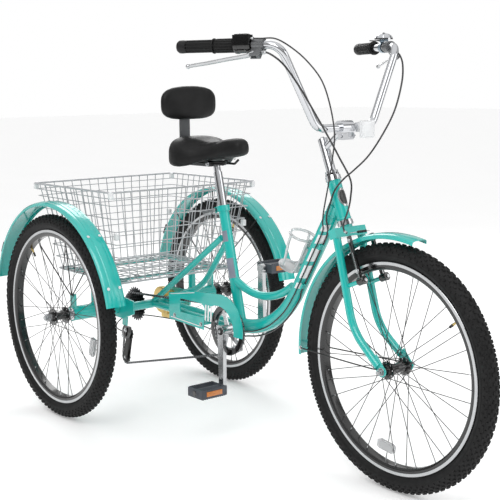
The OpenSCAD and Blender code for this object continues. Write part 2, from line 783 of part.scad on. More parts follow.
pedal_w = 95;
pedal_l = 70;
pedal_h = 27;
module pedal_shape(z) translate([bb_x, -138, z]) difference() {
  union() {
    for (s = [-1, 1]) {
      translate([s * (pedal_l / 2 - 4) - 4, -pedal_w / 2, -pedal_h / 2]) cube([8, pedal_w, pedal_h]);
      translate([-pedal_l / 2, s * (pedal_w / 2 - 3) - 3, -pedal_h / 2]) cube([pedal_l, 6, pedal_h]);
    }
    shaft(0, 0, -pedal_w / 2, pedal_w / 2, 12);
  }
  shaft(0, 0, -60, 60, 7 + play);
}
module right_pedal() color("slategray") place() pedal_shape(bb_z - crank_len);
module left_pedal() color("slategray") place() mirror([0, 1, 0]) pedal_shape(bb_z + crank_len);

module freewheel() color("dimgray") place() difference() {
  union() {
    shaft(0, tyre_r, -70, -36, 20);
    for (i = [0 : len(cogs) - 1]) {
      y = -38 - cog_gap * i;
      tip = link * cogs[i] / 360 * 180 / PI + (cogs[i] == cog_teeth ? -4.4 : 3);
      shaft(0, tyre_r, y - 1, y + 1, tip);
    }
  }
  shaft(0, tyre_r, -80, -30, axle_d / 2 + play);
}

// Outline of the chain loop, grown or shrunk by half the chain's height.
module chain_loop(grow) hull() {
  translate([bb_x, bb_z]) circle(ring_r + grow, $fn = 72);
  translate([0, tyre_r]) circle(cog_r + grow, $fn = 48);
  translate(low_pulley) circle(pulley_r + grow, $fn = 36);
}

module chain() color("#222222") place() plate(chain_w / 2 - chain_y, chain_w) difference() {
  chain_loop(chain_h / 2);
  chain_loop(-chain_h / 2);
}

module derailleur_body() color("black") place() {
  plate(-63, 13) polygon([[-28, 256], [4, 256], [4, 236], [-12, 214], [-34, 214], [-38, 232]]);
  shaft(top_pulley[0], top_pulley[1], -63, -46, 4);
}

// Cage plates with their two guide pulleys.
module derailleur_cage() color("black") place() difference() {
  union() {
    for (y = [-48.5, -59.5]) plate(y + 2, 2) {
      translate(top_pulley) circle(12);
      translate(low_pulley) circle(12);
      polygon([[-33, 226], [-11, 230], [-34, 139], [-56, 139]]);
    }
    for (p = [top_pulley, low_pulley]) {
      shaft(p[0], p[1], -chain_y - 1.5, -chain_y + 1.5, pulley_r - 4.4);
      shaft(p[0], p[1], -58, -47, 7);
    }
  }
  shaft(top_pulley[0], top_pulley[1], -70, -40, 4 + play);
}

front_frame();
axle_housings();
basket_rack();
bearing_cups();
chain_guard();
basket();
right_fender();
left_fender();
fender_fittings();
bottle_cage();
seat_collar();
brake_band();
gear_cable();
rear_brake_cable();
chain();
seat_clamp_lever();
seat_post();
saddle_rails();
saddle();
backrest_post();
backrest();
fork();
front_axle();
front_fender();
stem();
handlebar();
handlebar_grips();
shifter_housing();
lever_clamps();
bell_base();
front_reflector();
front_brake_cable();
twist_grip();
right_brake_lever();
left_brake_lever();
bell_lever();
right_brake_arm();
left_brake_arm();
front_tyre();
front_rim();
front_spokes();
front_hub();
rear_axle();
brake_drum();
right_tyre();
right_rim();
right_spokes();
right_hub();
left_tyre();
left_rim();
left_spokes();
left_hub();
chainring();
right_crank();
left_crank();
right_pedal();
left_pedal();
freewheel();
derailleur_body();
derailleur_cage();
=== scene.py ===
import bpy
import bmesh
import math
from math import sin, cos, radians, pi, atan2, sqrt
from mathutils import Vector, Matrix


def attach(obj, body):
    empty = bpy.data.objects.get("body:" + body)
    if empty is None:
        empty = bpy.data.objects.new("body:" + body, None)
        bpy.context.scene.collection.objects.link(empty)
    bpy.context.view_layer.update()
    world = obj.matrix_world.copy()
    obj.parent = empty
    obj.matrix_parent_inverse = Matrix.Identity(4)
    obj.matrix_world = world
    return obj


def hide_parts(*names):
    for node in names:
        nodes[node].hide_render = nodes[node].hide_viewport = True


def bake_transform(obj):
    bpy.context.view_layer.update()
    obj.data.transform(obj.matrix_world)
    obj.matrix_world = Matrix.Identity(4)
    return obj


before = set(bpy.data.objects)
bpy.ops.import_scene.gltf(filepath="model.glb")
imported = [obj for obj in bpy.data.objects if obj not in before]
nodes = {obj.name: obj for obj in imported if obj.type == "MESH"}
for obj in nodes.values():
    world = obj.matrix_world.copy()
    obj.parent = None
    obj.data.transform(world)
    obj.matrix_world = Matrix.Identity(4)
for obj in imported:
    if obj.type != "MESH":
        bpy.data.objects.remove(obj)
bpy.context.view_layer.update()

# Lengths below are in millimetres from the rear axle, as in the CAD source.
REAR = 573.0556


def P(x, y, z):
    return Vector(((x - REAR) / 1000, y / 1000, z / 1000))


# ---- Camera ----
yaw, pitch, roll = radians(50.9265), radians(8.7909), radians(-0.6270)
back = Vector((sin(yaw) * cos(pitch), -cos(yaw) * cos(pitch), sin(pitch)))
side = (-back).cross(Vector((0, 0, 1))).normalized()
above = side.cross(-back)
cam_x = cos(roll) * side + sin(roll) * above
cam_y = -sin(roll) * side + cos(roll) * above
cam_data = bpy.data.cameras.new("camera")
cam_data.lens = 78.5
cam_data.sensor_width = 36
cam_data.clip_end = 100
camera = bpy.data.objects.new("camera", cam_data)
bpy.context.scene.collection.objects.link(camera)
eye = Vector((2.525445, -2.0475, 1.0828))
camera.matrix_world = Matrix((
    (cam_x.x, cam_y.x, back.x, eye.x), (cam_x.y, cam_y.y, back.y, eye.y),
    (cam_x.z, cam_y.z, back.z, eye.z), (0, 0, 0, 1)))
bpy.context.scene.camera = camera


# ---- Materials ----
def material(name, color, rough=0.4, metal=0.0, grain=0.0, size=300, vary=0.12, coat=0.0,
             sheen=0.0, glass=0.0, patch=25, wave=None, rough_vary=0.12, spec=0.5):
    """A material whose colour and roughness vary softly, with a fine grain or a wave as bump."""
    m = bpy.data.materials.new(name)
    m.use_nodes = True
    t = m.node_tree
    b = t.nodes["Principled BSDF"]
    place = t.nodes.new("ShaderNodeTexCoord")
    n1 = t.nodes.new("ShaderNodeTexNoise")
    n1.inputs["Scale"].default_value = patch
    n1.inputs["Detail"].default_value = 4
    t.links.new(place.outputs["Object"], n1.inputs["Vector"])
    ramp = t.nodes.new("ShaderNodeValToRGB")
    lo = [max(0, c * (1 - vary)) for c in color]
    hi = [min(1, c * (1 + vary) + 0.004) for c in color]
    ramp.color_ramp.elements[0].position = 0.3
    ramp.color_ramp.elements[0].color = (*lo, 1)
    ramp.color_ramp.elements[1].position = 0.7
    ramp.color_ramp.elements[1].color = (*hi, 1)
    t.links.new(n1.outputs["Fac"], ramp.inputs["Fac"])
    t.links.new(ramp.outputs["Color"], b.inputs["Base Color"])
    n2 = t.nodes.new("ShaderNodeTexNoise")
    n2.inputs["Scale"].default_value = patch * 6
    t.links.new(place.outputs["Object"], n2.inputs["Vector"])
    span = t.nodes.new("ShaderNodeMapRange")
    span.inputs["To Min"].default_value = max(0.02, rough - rough_vary * rough)
    span.inputs["To Max"].default_value = min(1, rough + rough_vary * rough)
    t.links.new(n2.outputs["Fac"], span.inputs["Value"])
    t.links.new(span.outputs["Result"], b.inputs["Roughness"])
    if grain or wave:
        bump = t.nodes.new("ShaderNodeBump")
        bump.inputs["Strength"].default_value = max(grain, wave[1] if wave else 0)
        bump.inputs["Distance"].default_value = 0.0006
        if wave:
            w = t.nodes.new("ShaderNodeTexWave")
            w.bands_direction = wave[2]
            w.inputs["Scale"].default_value = wave[0]
            t.links.new(place.outputs["Object"], w.inputs["Vector"])
            t.links.new(w.outputs["Fac"], bump.inputs["Height"])
        else:
            v = t.nodes.new("ShaderNodeTexVoronoi" if size > 600 else "ShaderNodeTexNoise")
            v.inputs["Scale"].default_value = size
            t.links.new(place.outputs["Object"], v.inputs["Vector"])
            t.links.new(v.outputs[0], bump.inputs["Height"])
        t.links.new(bump.outputs["Normal"], b.inputs["Normal"])
    b.inputs["Metallic"].default_value = metal
    b.inputs["Specular IOR Level"].default_value = spec
    b.inputs["Coat Weight"].default_value = coat
    b.inputs["Coat Roughness"].default_value = 0.06
    b.inputs["Sheen Weight"].default_value = sheen
    b.inputs["Transmission Weight"].default_value = glass
    return m


TEAL = (0.004, 0.46, 0.41)
teal = material("teal_enamel", TEAL, 0.22, coat=0.9, vary=0.04, patch=6, grain=0.02, size=260)
chrome = material("chrome_plate", (0.60, 0.61, 0.63), 0.07, 1.0, vary=0.03, patch=14)
steel = material("bright_steel", (0.42, 0.43, 0.44), 0.28, 1.0, vary=0.08, grain=0.12, size=500)
alloy = material("polished_alloy", (0.52, 0.53, 0.54), 0.2, 1.0, vary=0.05, grain=0.05, size=420)
grey_alloy = material("grey_alloy", (0.16, 0.165, 0.17), 0.38, 0.7, vary=0.1, grain=0.15, size=500)
black_paint = material("black_paint", (0.005, 0.005, 0.0052), 0.26, coat=0.4, vary=0.2, grain=0.05, size=380)
satin_black = material("satin_black", (0.007, 0.007, 0.0073), 0.4, vary=0.2, grain=0.2, size=520)
gloss_black = material("gloss_black", (0.004, 0.004, 0.0042), 0.12, coat=0.7, vary=0.2)
rubber = material("tyre_rubber", (0.006, 0.006, 0.0062), 0.62, vary=0.25, grain=0.45, size=560, patch=60,
        spec=0.28)
grip_rubber = material("grip_rubber", (0.007, 0.007, 0.0073), 0.5, vary=0.2, grain=0.35, size=900, spec=0.3)
vinyl = material("seat_vinyl", (0.007, 0.007, 0.0073), 0.42, vary=0.15, grain=0.22, size=950, coat=0.0,
        spec=0.22)
wire_white = material("coated_wire", (0.42, 0.43, 0.45), 0.3, coat=0.5, vary=0.04, grain=0.03, size=300)
milky = material("milky_plastic", (0.80, 0.82, 0.83), 0.22, glass=0.55, vary=0.03, grain=0.04, size=240)
clear = material("clear_plastic", (0.86, 0.87, 0.88), 0.12, glass=0.6, vary=0.02, wave=(120, 0.5, "X"))
white_plastic = material("white_reflector", (0.82, 0.83, 0.84), 0.2, coat=0.5, vary=0.04,
        wave=(160, 0.6, "DIAGONAL"))
amber = material("amber_reflector", (0.62, 0.20, 0.03), 0.18, coat=0.8, vary=0.06,
        wave=(260, 0.6, "DIAGONAL"))
red = material("red_reflector", (0.55, 0.01, 0.012), 0.16, coat=0.8, vary=0.08, wave=(240, 0.6, "DIAGONAL"))
brass = material("yellow_zinc", (0.62, 0.46, 0.17), 0.3, 0.9, vary=0.16, patch=40, grain=0.06, size=420)
cable_black = material("cable_sleeve", (0.01, 0.01, 0.011), 0.26, coat=0.3, vary=0.15)
dark_steel = material("dark_steel", (0.10, 0.10, 0.105), 0.36, 0.9, vary=0.2, patch=60, grain=0.1, size=600)
spoke_steel = material("spoke_steel", (0.03, 0.03, 0.032), 0.35, 0.4, vary=0.15)
grey_strap = material("grey_strap", (0.10, 0.105, 0.11), 0.42, 0.5, vary=0.1, grain=0.1, size=420)
label_grey = material("label_grey", (0.22, 0.24, 0.30), 0.4, vary=0.1, coat=0.3)
decal = material("decal_white", (0.86, 0.87, 0.88), 0.28, coat=0.7, vary=0.02)
pedal_grey = material("pedal_resin", (0.055, 0.062, 0.075), 0.5, vary=0.15, grain=0.3, size=620)
bell_blue = material("bell_base_blue", (0.20, 0.27, 0.33), 0.3, 0.4, vary=0.08, coat=0.4)


# ---- Mesh helpers ----
class Shape:
    def __init__(self):
        self.v, self.f, self.m = [], [], []

    def add(self, part, mat=0, place=None):
        verts, faces = part
        n = len(self.v)
        self.v += [place @ Vector(p) if place else Vector(p) for p in verts]
        self.f += [tuple(i + n for i in f) for f in faces]
        self.m += [mat] * len(faces)
        return self

    def make(self, name, mats, body=None, smooth=34, slot=None):
        me = bpy.data.meshes.new(name)
        me.from_pydata([tuple(p) for p in self.v], [], self.f)
        for m in mats:
            me.materials.append(m)
        me.polygons.foreach_set("material_index", self.m)
        bm = bmesh.new()
        bm.from_mesh(me)
        bmesh.ops.recalc_face_normals(bm, faces=bm.faces)
        bm.to_mesh(me)
        bm.free()
        me.shade_smooth()
        me.set_sharp_from_angle(angle=radians(smooth))
        o = bpy.data.objects.new(name, me)
        bpy.context.scene.collection.objects.link(o)
        if body:
            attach(o, body)
        return o


def revolve(profile, n=64, a0=0.0, a1=2 * pi, loop=False):
    """Turns (radius, height) pairs, in mm, around Z; loop closes the profile on itself."""
    full = abs(a1 - a0 - 2 * pi) < 1e-6
    rings = n if full else n + 1
    k = len(profile)
    verts = []
    for i in range(rings):
        a = a0 + (a1 - a0) * i / n
        verts += [(r * cos(a) / 1000, r * sin(a) / 1000, z / 1000) for r, z in profile]
    faces = []
    for i in range(n):
        i2 = (i + 1) % rings
        for j in range(k if loop else k - 1):
            j2 = (j + 1) % k
            faces.append((i * k + j, i2 * k + j, i2 * k + j2, i * k + j2))
    if loop and not full:
        faces.append(tuple(range(k)))
        faces.append(tuple((rings - 1) * k + j for j in reversed(range(k))))
    return verts, faces


def peg(r, z0, z1, n=20, edge=0.6, r2=None):
    """A short round piece with softened rims, from z0 to z1."""
    r2 = r if r2 is None else r2
    prof = [(0.01, z0), (r - edge, z0), (r, z0 + edge), (r2, z1 - edge), (r2 - edge, z1), (0.01, z1)]
    return revolve(prof, n)


def pipe(points, r, sides=8, closed=False):
    """Sweeps a circle of radius r mm along points given in metres."""
    pts = [Vector(p) for p in points]
    n = len(pts)
    verts, faces = [], []
    ref = None
    for i, p in enumerate(pts):
        a = pts[(i - 1) % n] if closed or i > 0 else p
        b = pts[(i + 1) % n] if closed or i < n - 1 else p
        t = (b - a).normalized()
        if ref is None:
            ref = t.orthogonal().normalized()
        ref = (ref - t * ref.dot(t)).normalized()
        w = t.cross(ref)
        rr = (r[i] if isinstance(r, (list, tuple)) else r) / 1000
        verts += [p + (ref * cos(2 * pi * k / sides) + w * sin(2 * pi * k / sides)) * rr
                for k in range(sides)]
    for i in range(n if closed else n - 1):
        i2 = (i + 1) % n
        for k in range(sides):
            k2 = (k + 1) % sides
            faces.append((i * sides + k, i * sides + k2, i2 * sides + k2, i2 * sides + k))
    if not closed:
        faces.append(tuple(reversed(range(sides))))
        faces.append(tuple((n - 1) * sides + k for k in range(sides)))
    return verts, faces


def curve(points, per=6):
    """A smooth line through points (Catmull-Rom)."""
    p = [Vector(q) for q in points]
    p = [2 * p[0] - p[1]] + p + [2 * p[-1] - p[-2]]
    out = []
    for i in range(1, len(p) - 2):
        for k in range(per):
            t = k / per
            out.append(0.5 * (2 * p[i] + (p[i + 1] - p[i - 1]) * t
                       + (2 * p[i - 1] - 5 * p[i] + 4 * p[i + 1] - p[i + 2]) * t * t
                       + (3 * p[i] - p[i - 1] - 3 * p[i + 1] + p[i + 2]) * t ** 3))
    out.append(p[-2])
    return out


def prism(outline, z0, z1, hole=None):
    """An outline in mm extruded along Z; hole is an inner outline with as many points."""
    n = len(outline)
    verts = [(x / 1000, y / 1000, z / 1000) for z in (z0, z1) for x, y in outline]
    faces = [(i, (i + 1) % n, n + (i + 1) % n, n + i) for i in range(n)]
    if hole:
        verts += [(x / 1000, y / 1000, z / 1000) for z in (z0, z1) for x, y in hole]
        h = 2 * n
        faces += [(h + i, h + n + i, h + n + (i + 1) % n, h + (i + 1) % n) for i in range(n)]
        faces += [(i, h + i, h + (i + 1) % n, (i + 1) % n) for i in range(n)]
        faces += [(n + i, n + (i + 1) % n, h + n + (i + 1) % n, h + n + i) for i in range(n)]
    else:
        faces += [tuple(reversed(range(n))), tuple(range(n, 2 * n))]
    return verts, faces


def block(x, y, z, soft=1.0, cuts=2):
    """A box with rounded edges, centred on the origin, sides in mm."""
    bm = bmesh.new()
    bmesh.ops.create_cube(bm, size=1.0)
    bmesh.ops.scale(bm, vec=(x / 1000, y / 1000, z / 1000), verts=bm.verts)
    bmesh.ops.bevel(bm, geom=bm.edges[:], offset=soft / 1000, segments=cuts, profile=0.5, affect="EDGES")
    bm.verts.index_update()
    part = [v.co.copy() for v in bm.verts], [tuple(v.index for v in f.verts) for f in bm.faces]
    bm.free()
    return part


def put(x, y, z):
    """A placement at a point of the CAD source, in mm."""
    return Matrix.Translation(P(x, y, z))


def aim(origin, z, x=None):
    """A placement whose Z points along z, and X near x."""
    z = Vector(z).normalized()
    x = Vector(x) if x is not None else z.orthogonal()
    x = (x - z * x.dot(z)).normalized()
    y = z.cross(x)
    o = Vector(origin)
    return Matrix(((x.x, y.x, z.x, o.x), (x.y, y.y, z.y, o.y), (x.z, y.z, z.z, o.z), (0, 0, 0, 1)))


def turn(deg, axis="Y"):
    return Matrix.Rotation(radians(deg), 4, axis)


def shift(x, y, z):
    return Matrix.Translation((x / 1000, y / 1000, z / 1000))


FLIP = Matrix.Scale(-1, 4, (0, 1, 0))
STEER = put(985, 0, 707) @ turn(-22)
SEAT = put(535, 0, 335) @ turn(-13.45)
GRIP = put(969, -215, 1175) @ turn(math.degrees(atan2(-118, -269)), "Z")
LEVER = GRIP @ turn(-50, "X")
ALONG_Y = Matrix.Rotation(radians(90), 4, "X")


def bolt(shape, place, mat, r=4.0, h=3.0, hexed=True):
    """A bolt head with a washer, standing on the place's XY plane."""
    shape.add(peg(r * 1.45, 0, 0.9, 20, 0.3), mat, place)
    shape.add(peg(r, 0.8, h + 0.8, 6 if hexed else 18, 0.5), mat, place)


# ---- Wheels ----
WHEELS = {
    "front": (P(1178, 0, 333.5), "front_wheel", 38),
    "right": (P(0, -340, 333.5), "axle", 128),
    "left": (P(0, 340, 333.5), "left_wheel", 75),
}


def tyre():
    s = Shape()
    rc, rs = 306.5, 23.8
    prof = []
    for k in range(27):
        a = radians(-148 + 296 * k / 26)
        prof.append((rc + rs * cos(a), rs * sin(a)))
    prof += [(284.5, 12.2), (288, 9), (288, -9), (284.5, -12.2)]
    s.add(revolve(prof, 144, loop=True))
    for k in (-1, 1):
        s.add(revolve([(rc + 24.4 * cos(radians(a)), k * 24.4 * sin(radians(a)))
                for a in (100, 104, 108, 112)]
                      + [(rc + 23 * cos(radians(106)), k * 23 * sin(radians(106)))], 144, loop=True))
    rows = [(0, 6.0, 3.4), (21, 4.8, 2.9), (-21, 4.8, 2.9), (43, 4.9, 2.9), (-43, 4.9, 2.9),
            (63, 4.4, 2.8), (-63, 4.4, 2.8), (82, 3.4, 2.9), (-82, 3.4, 2.9)]
    count = 92
    for i in range(count):
        for j, (phi, length, width) in enumerate(rows):
            step = (i + (0.5 if (j + 1) // 2 % 2 else 0)) * 2 * pi / count
            if j == 0 and i % 2:
                length = 4.2
            f = radians(phi)
            out = Vector((cos(f) * cos(step), cos(f) * sin(step), sin(f)))
            along = Vector((-sin(step), cos(step), 0))
            base = Vector(((rc * cos(step)), rc * sin(step), 0)) / 1000
            m = aim(base + out * (rs - 0.3) / 1000, out, along)
            h = 3.3 if abs(phi) < 70 else 2.4
            low = [(-length, -width, 0), (length, -width, 0), (length, width, 0), (-length, width, 0)]
            top = [(x * 0.78, y * 0.78, h) for x, y, _ in low]
            pts = [(x / 1000, y / 1000, z / 1000) for x, y, z in low + top]
            s.add((pts, [(4, 5, 6, 7), (0, 1, 5, 4), (1, 2, 6, 5), (2, 3, 7, 6), (3, 0, 4, 7)]), 0, m)
    return s


def rim():
    s = Shape()
    side_prof = [(262.5, -11.5), (266, -14.4), (270.5, -15.6), (275.5, -15.9)]
    s.add(revolve([(262, -8), *side_prof, (275.5, -12), (265.5, -7.5), (265, 7.5), (275.5, 12), (275.5, 15.9),
                   (270.5, 15.6), (266, 14.4), (262.5, 11.5), (262, 8)], 144, loop=True), 0)
    for k in (-1, 1):
        s.add(revolve([(275.6, k * 15.9), (283.6, k * 16.1), (284.4, k * 15.2), (284.4, k * 12.8),
                (275.6, k * 12.6)], 144, loop=True), 1)
    return s


def wheel_details(name, centre, valve_at, flanges, flange_r):
    """Nipples and valve, in the wheel's own frame (Z along the axle)."""
    s = Shape()
    per = 18
    for k in range(per):
        for sd in (0, 1):
            lead = 1 if k % 2 == 0 else -1
            a = radians(360 / per * (k + sd / 2))
            far = a + lead * radians(62)
            out = -1 if sd == 0 else 1
            z = flanges[sd] + out * lead * 1.8
            p = Vector((flange_r * cos(a), flange_r * sin(a), z)) / 1000
            q = Vector((264 * cos(far), 264 * sin(far), out * 5)) / 1000
            s.add(peg(2.4, -1.0, 12, 8, 0.4, 1.7), 0, aim(q, p - q))
            s.add(peg(2.1, -1.5, 1.5, 8, 0.4), 0, aim(p, q - p))
    v = radians(valve_at)
    d = Vector((cos(v), sin(v), 0))
    s.add(peg(3.0, 0, 24, 14), 1, aim(d * 0.2635, -d))
    s.add(peg(3.9, 20, 34, 14, 0.8, 3.4), 2, aim(d * 0.2635, -d))
    return s


tyre_shape, rim_shape = tyre(), rim()
tyre_mesh = tyre_shape.make("front_tyre_tread", [rubber], smooth=40)
rim_mesh = rim_shape.make("front_rim_ring", [black_paint, alloy])
for key, (centre, body, valve) in WHEELS.items():
    spin = Matrix.Translation(centre) @ ALONG_Y
    for base, node, slot in ((tyre_mesh, "tyre", "tyre"), (rim_mesh, "rim", "rim_black")):
        o = base.copy()
        o.data = base.data.copy()
        bpy.context.scene.collection.objects.link(o)
        o.name = f"{key}_{node}_ring"
        o.data.transform(spin @ turn({"front": 3, "right": 17, "left": 9}[key], "Z"))
        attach(o, body)
        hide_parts(f"{key}_{node}")
    flanges = {"front": (-32, 32), "right": (-27, 19), "left": (-19, 27)}[key]
    s = wheel_details(key, centre, valve, flanges, 21 if key == "front" else 24)
    s.v = [spin @ p for p in s.v]
    s.make(f"{key}_nipples_valve", [alloy, brass, satin_black], body, slot="spoke")
    s = Shape()
    lens = [(-19, -8), (-14, -12), (14, -12), (19, -8), (19, 8), (14, 12), (-14, 12), (-19, 8)]
    refl = spin @ turn(valve + 215 if key != "front" else 262, "Z") @ shift(222, 0, 0) @ turn(90, "Z")
    s.add(prism([(x * 1.6, y * 1.1) for x, y in lens], -4, 4), 0, refl)
    s.add(prism([(x * 1.35, y * 0.8) for x, y in lens], -5.2, 5.2), 0, refl)
    s.make(f"{key}_spoke_reflector", [clear], body, slot="white_plastic")
for base in (tyre_mesh, rim_mesh):
    bpy.data.objects.remove(base)


# ---- Fenders ----
def fender(r, w, a0, a1, n):
    h = w / 2
    outer = [(r - 12, -h), (r - 5, -h + 0.4), (r - 1.6, -h + 4), (r - 0.6, -h + 9), (r - 0.8, -13.5),
            (r + 0.9, -11.5),
             (r + 1.4, -6), (r + 1.5, 0), (r + 1.4, 6), (r + 0.9, 11.5), (r - 0.8, 13.5), (r - 0.6, h - 9),
             (r - 1.6, h - 4),
             (r - 5, h - 0.4), (r - 12, h)]
    inner = [(r - 12, h - 1.6), (r - 5.5, h - 2), (r - 3, h - 5), (r - 2, h - 10), (r - 1.6, 0),
            (r - 2, 10 - h), (r - 3, 5 - h),
             (r - 5.5, 2 - h), (r - 12, 1.6 - h)]
    s = Shape()
    s.add(revolve(outer + inner, n, radians(a0), radians(a1), loop=True))
    for k in (-1, 1):
        path = [Vector(((r - 12) * cos(radians(a)), (r - 12) * sin(radians(a)), k * (h - 0.8))) / 1000
                for a in [a0 + (a1 - a0) * i / n for i in range(n + 1)]]
        s.add(pipe(path, 1.5, 8))
    return s


for key in ("right", "left"):
    spin = Matrix.Translation(WHEELS[key][0]) @ ALONG_Y
    s = fender(375, 64, 13.2, 166.8, 110)
    s.v = [spin @ p for p in s.v]
    o = s.make(f"{key}_mudguard", [teal], "frame", slot="fender_paint")
    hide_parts(f"{key}_fender")
    s = Shape()
    for a in (22, 50, 92, 132, 158):
        for z in (-20, 20):
            d = Vector((cos(radians(a)), sin(radians(a)), 0))
            bolt(s, spin @ aim(d * 0.3752 + Vector((0, 0, z / 1000)), d), 0, 3.4, 1.6, False)
    s.make(f"{key}_mudguard_rivets", [white_plastic], "frame", slot="white_plastic")
    s = Shape()
    m = put(0, -340 if key == "right" else 340, 333.5) @ turn(-150)
    s.add(block(7, 44, 38, 2.5), 0, m @ shift(379.5, 0, 0))
    s.add(block(6, 37, 31, 2.0), 1, m @ shift(385, 0, 0))
    s.make(f"{key}_rear_reflector", [satin_black, red], "frame", slot="black_steel")

spin = Matrix.Translation(WHEELS["front"][0]) @ ALONG_Y
s = fender(358, 54, 77.2, 183.8, 84)
s.v = [spin @ p for p in s.v]
o = s.make("front_mudguard", [teal], "steering", slot="fender_paint")
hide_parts("front_fender")
s = Shape()
for y in (-1, 1):
    s.add(pipe(curve([P(832, 27 * y, 330), P(850, 30 * y, 331), P(1000, 44 * y, 333), P(1130, 55 * y, 336),
            P(1162, 57 * y, 338)], 5), 1.9, 8), 0)
    bolt(s, aim(P(834, 27.2 * y, 330.5), (0, y, 0)), 1, 4.2, 2.4)
s.make("front_mudguard_stays", [satin_black, alloy], "steering", slot="black_steel")

# ---- Basket ----
BX, BZ, BH = 11, 456.5, 293
LOW, TOP = (202, 225), (241, 285)


def basket_at(u, v, h):
    """A point of the basket: u and v from -1 to 1 across, h from 0 to 1 up."""
    return P(BX + u * (LOW[0] + (TOP[0] - LOW[0]) * h), v * (LOW[1] + (TOP[1] - LOW[1]) * h), BZ + BH * h)


def rounded_ring(h, r, n=7):
    pts = []
    a, b = LOW[0] + (TOP[0] - LOW[0]) * h, LOW[1] + (TOP[1] - LOW[1]) * h
    for cx, cy, start in ((1, 1, 0), (-1, 1, 90), (-1, -1, 180), (1, -1, 270)):
        for i in range(n):
            t = radians(start + 90 * i / (n - 1))
            pts.append(P(BX + cx * (a - r) + r * cos(t), cy * (b - r) + r * sin(t), BZ + BH * h))
    return pts


s = Shape()
for i in range(8):
    h = i / 7
    s.add(pipe(rounded_ring(h, 9), 3.2 if i in (0, 7) else 1.6, 8, closed=True))
s.add(pipe(rounded_ring(0.935, 9), 1.7, 8, closed=True))
for i in range(15):
    u = -1 + 2 * i / 14
    if abs(u) < 0.99:
        for v in (-1, 1):
            s.add(pipe([basket_at(u * 0.985, v, 0), basket_at(u * 0.985, v, 1)], 1.6, 6))
for i in range(17):
    v = -1 + 2 * i / 16
    if abs(v) < 0.99:
        for u in (-1, 1):
            s.add(pipe([basket_at(u, v * 0.985, 0), basket_at(u, v * 0.985, 1)], 1.6, 6))
for i in range(1, 11):
    u = -1 + 2 * i / 11
    s.add(pipe([basket_at(u, -1, 0), basket_at(u, 1, 0)], 1.6, 6))
for i in range(1, 12):
    v = -1 + 2 * i / 12
    s.add(pipe([basket_at(-1, v, 0) + Vector((0, 0, 0.0022)), basket_at(1, v, 0) + Vector((0, 0, 0.0022))],
            1.6, 6))
o = s.make("basket_wires", [wire_white], "frame", smooth=60, slot="basket_wire")
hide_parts("basket")
s = Shape()
for cx in (-1, 1):
    for cy in (-1, 1):
        for h in (0.97, 0.52):
            at = basket_at(cx, cy, h)
            s.add(block(15, 15, 22, 3), 0, Matrix.Translation(at + Vector((-0.003 * cx, -0.003 * cy, 0))))
for x in (-135, 135):
    for y in (-120, 120):
        bolt(s, put(x, y, 458), 1, 7, 3)
s.make("basket_corner_clips", [white_plastic, alloy], "frame", slot="white_plastic")


# ---- Frame details ----
def weld(s, place, r, mat=0, fat=2.2, n=40):
    s.add(revolve([(r + fat * cos(2 * pi * k / 10), fat * sin(2 * pi * k / 10)) for k in range(10)], n,
            loop=True), mat, place)


s = Shape()
weld(s, STEER @ shift(0, 0, 5), 18.2)
weld(s, STEER @ shift(0, 0, 108), 18.2)
down = (P(955, 0, 747) - P(711, 0, 352)).normalized()
weld(s, aim(P(938, 0, 719.5), down), 21.6)
weld(s, SEAT @ shift(0, 0, 21.5), 15.6)
for y in (-1, 1):
    weld(s, aim(P(508, 18.8 * y, 336), (-1, 0, 0.02)), 10.6, n=28)
    weld(s, aim(P(535, 34 * y, 335), (0, 1, 0)), 19.2, n=36)
    weld(s, aim(P(0, 111.8 * y, 333.5), (0, 1, 0)), 23, n=40)
    weld(s, aim(P(82, 111.5 * y, 345), (0, 1, 0)), 14.4, n=32)
weld(s, aim(P(0, -200, 358), (0, 0, 1)), 13.5, n=30)
weld(s, aim(P(0, 200, 358), (0, 0, 1)), 13.5, n=30)
for z, x in ((640, -12), (520, -12)):
    c = P(955 - 0.6177 * (747 - z), 0, z) + Vector((0.851, 0, -0.5256)) * 0.021
    for y in (-12, -21):
        s.add(revolve([(4.1, -8), (4.1, 8), (3.0, 8), (3.0, -8)], 18, loop=True), 0,
                aim(c + Vector((0.0012, y / 1000, -0.0007)), down))
s.make("frame_weld_beads", [teal], "frame", slot="teal_paint")

# Plain graphic bars on the down tube, a label on the seat tube and a plain head badge.
def tube_patch(p, axis, r, length, a0, a1, slant=0.0, nx=10, na=10):
    """A thin curved patch on a tube; angle 0 faces right, and it turns toward the front."""
    axis = Vector(axis).normalized()
    ref = Vector((0, -1, 0))
    m = aim(p, axis, ref)
    verts, faces = [], []
    for i in range(nx + 1):
        for j in range(na + 1):
            a = radians(a0 + (a1 - a0) * j / na)
            z = length * (i / nx - 0.5) + slant * (j / na - 0.5)
            verts.append(m @ Vector((r * cos(a) / 1000, r * sin(a) / 1000, z / 1000)))
    for i in range(nx):
        for j in range(na):
            k = i * (na + 1) + j
            faces.append((k, k + 1, k + na + 2, k + na + 1))
    return verts, faces


s = Shape()
for k, (z0, length) in enumerate(((688, 22), (655, 30), (608, 46), (556, 46), (513, 20))):
    s.add(tube_patch(P(955 - 0.6177 * (747 - z0), 0, z0), down, 22.12, length, 2, 60, 12))
s.make("tube_graphics", [decal], "frame", slot="white_plastic")
s = Shape()
s.add(tube_patch(SEAT @ Vector((0, 0, 0.185)), SEAT.to_3x3() @ Vector((0, 0, 1)), 16.12, 62, -60, 70, 0), 0)
s.add(tube_patch(SEAT @ Vector((0, 0, 0.285)), SEAT.to_3x3() @ Vector((0, 0, 1)), 16.12, 34, -40, 50, 0), 0)
s.make("seat_tube_label", [label_grey], "frame", slot="grey_steel")
s = Shape()
badge = STEER @ shift(18.9, 0, 62) @ turn(90)
SIDES = 36
oval = [(26 * cos(2 * pi * k / SIDES), 15 * sin(2 * pi * k / SIDES)) for k in range(SIDES)]


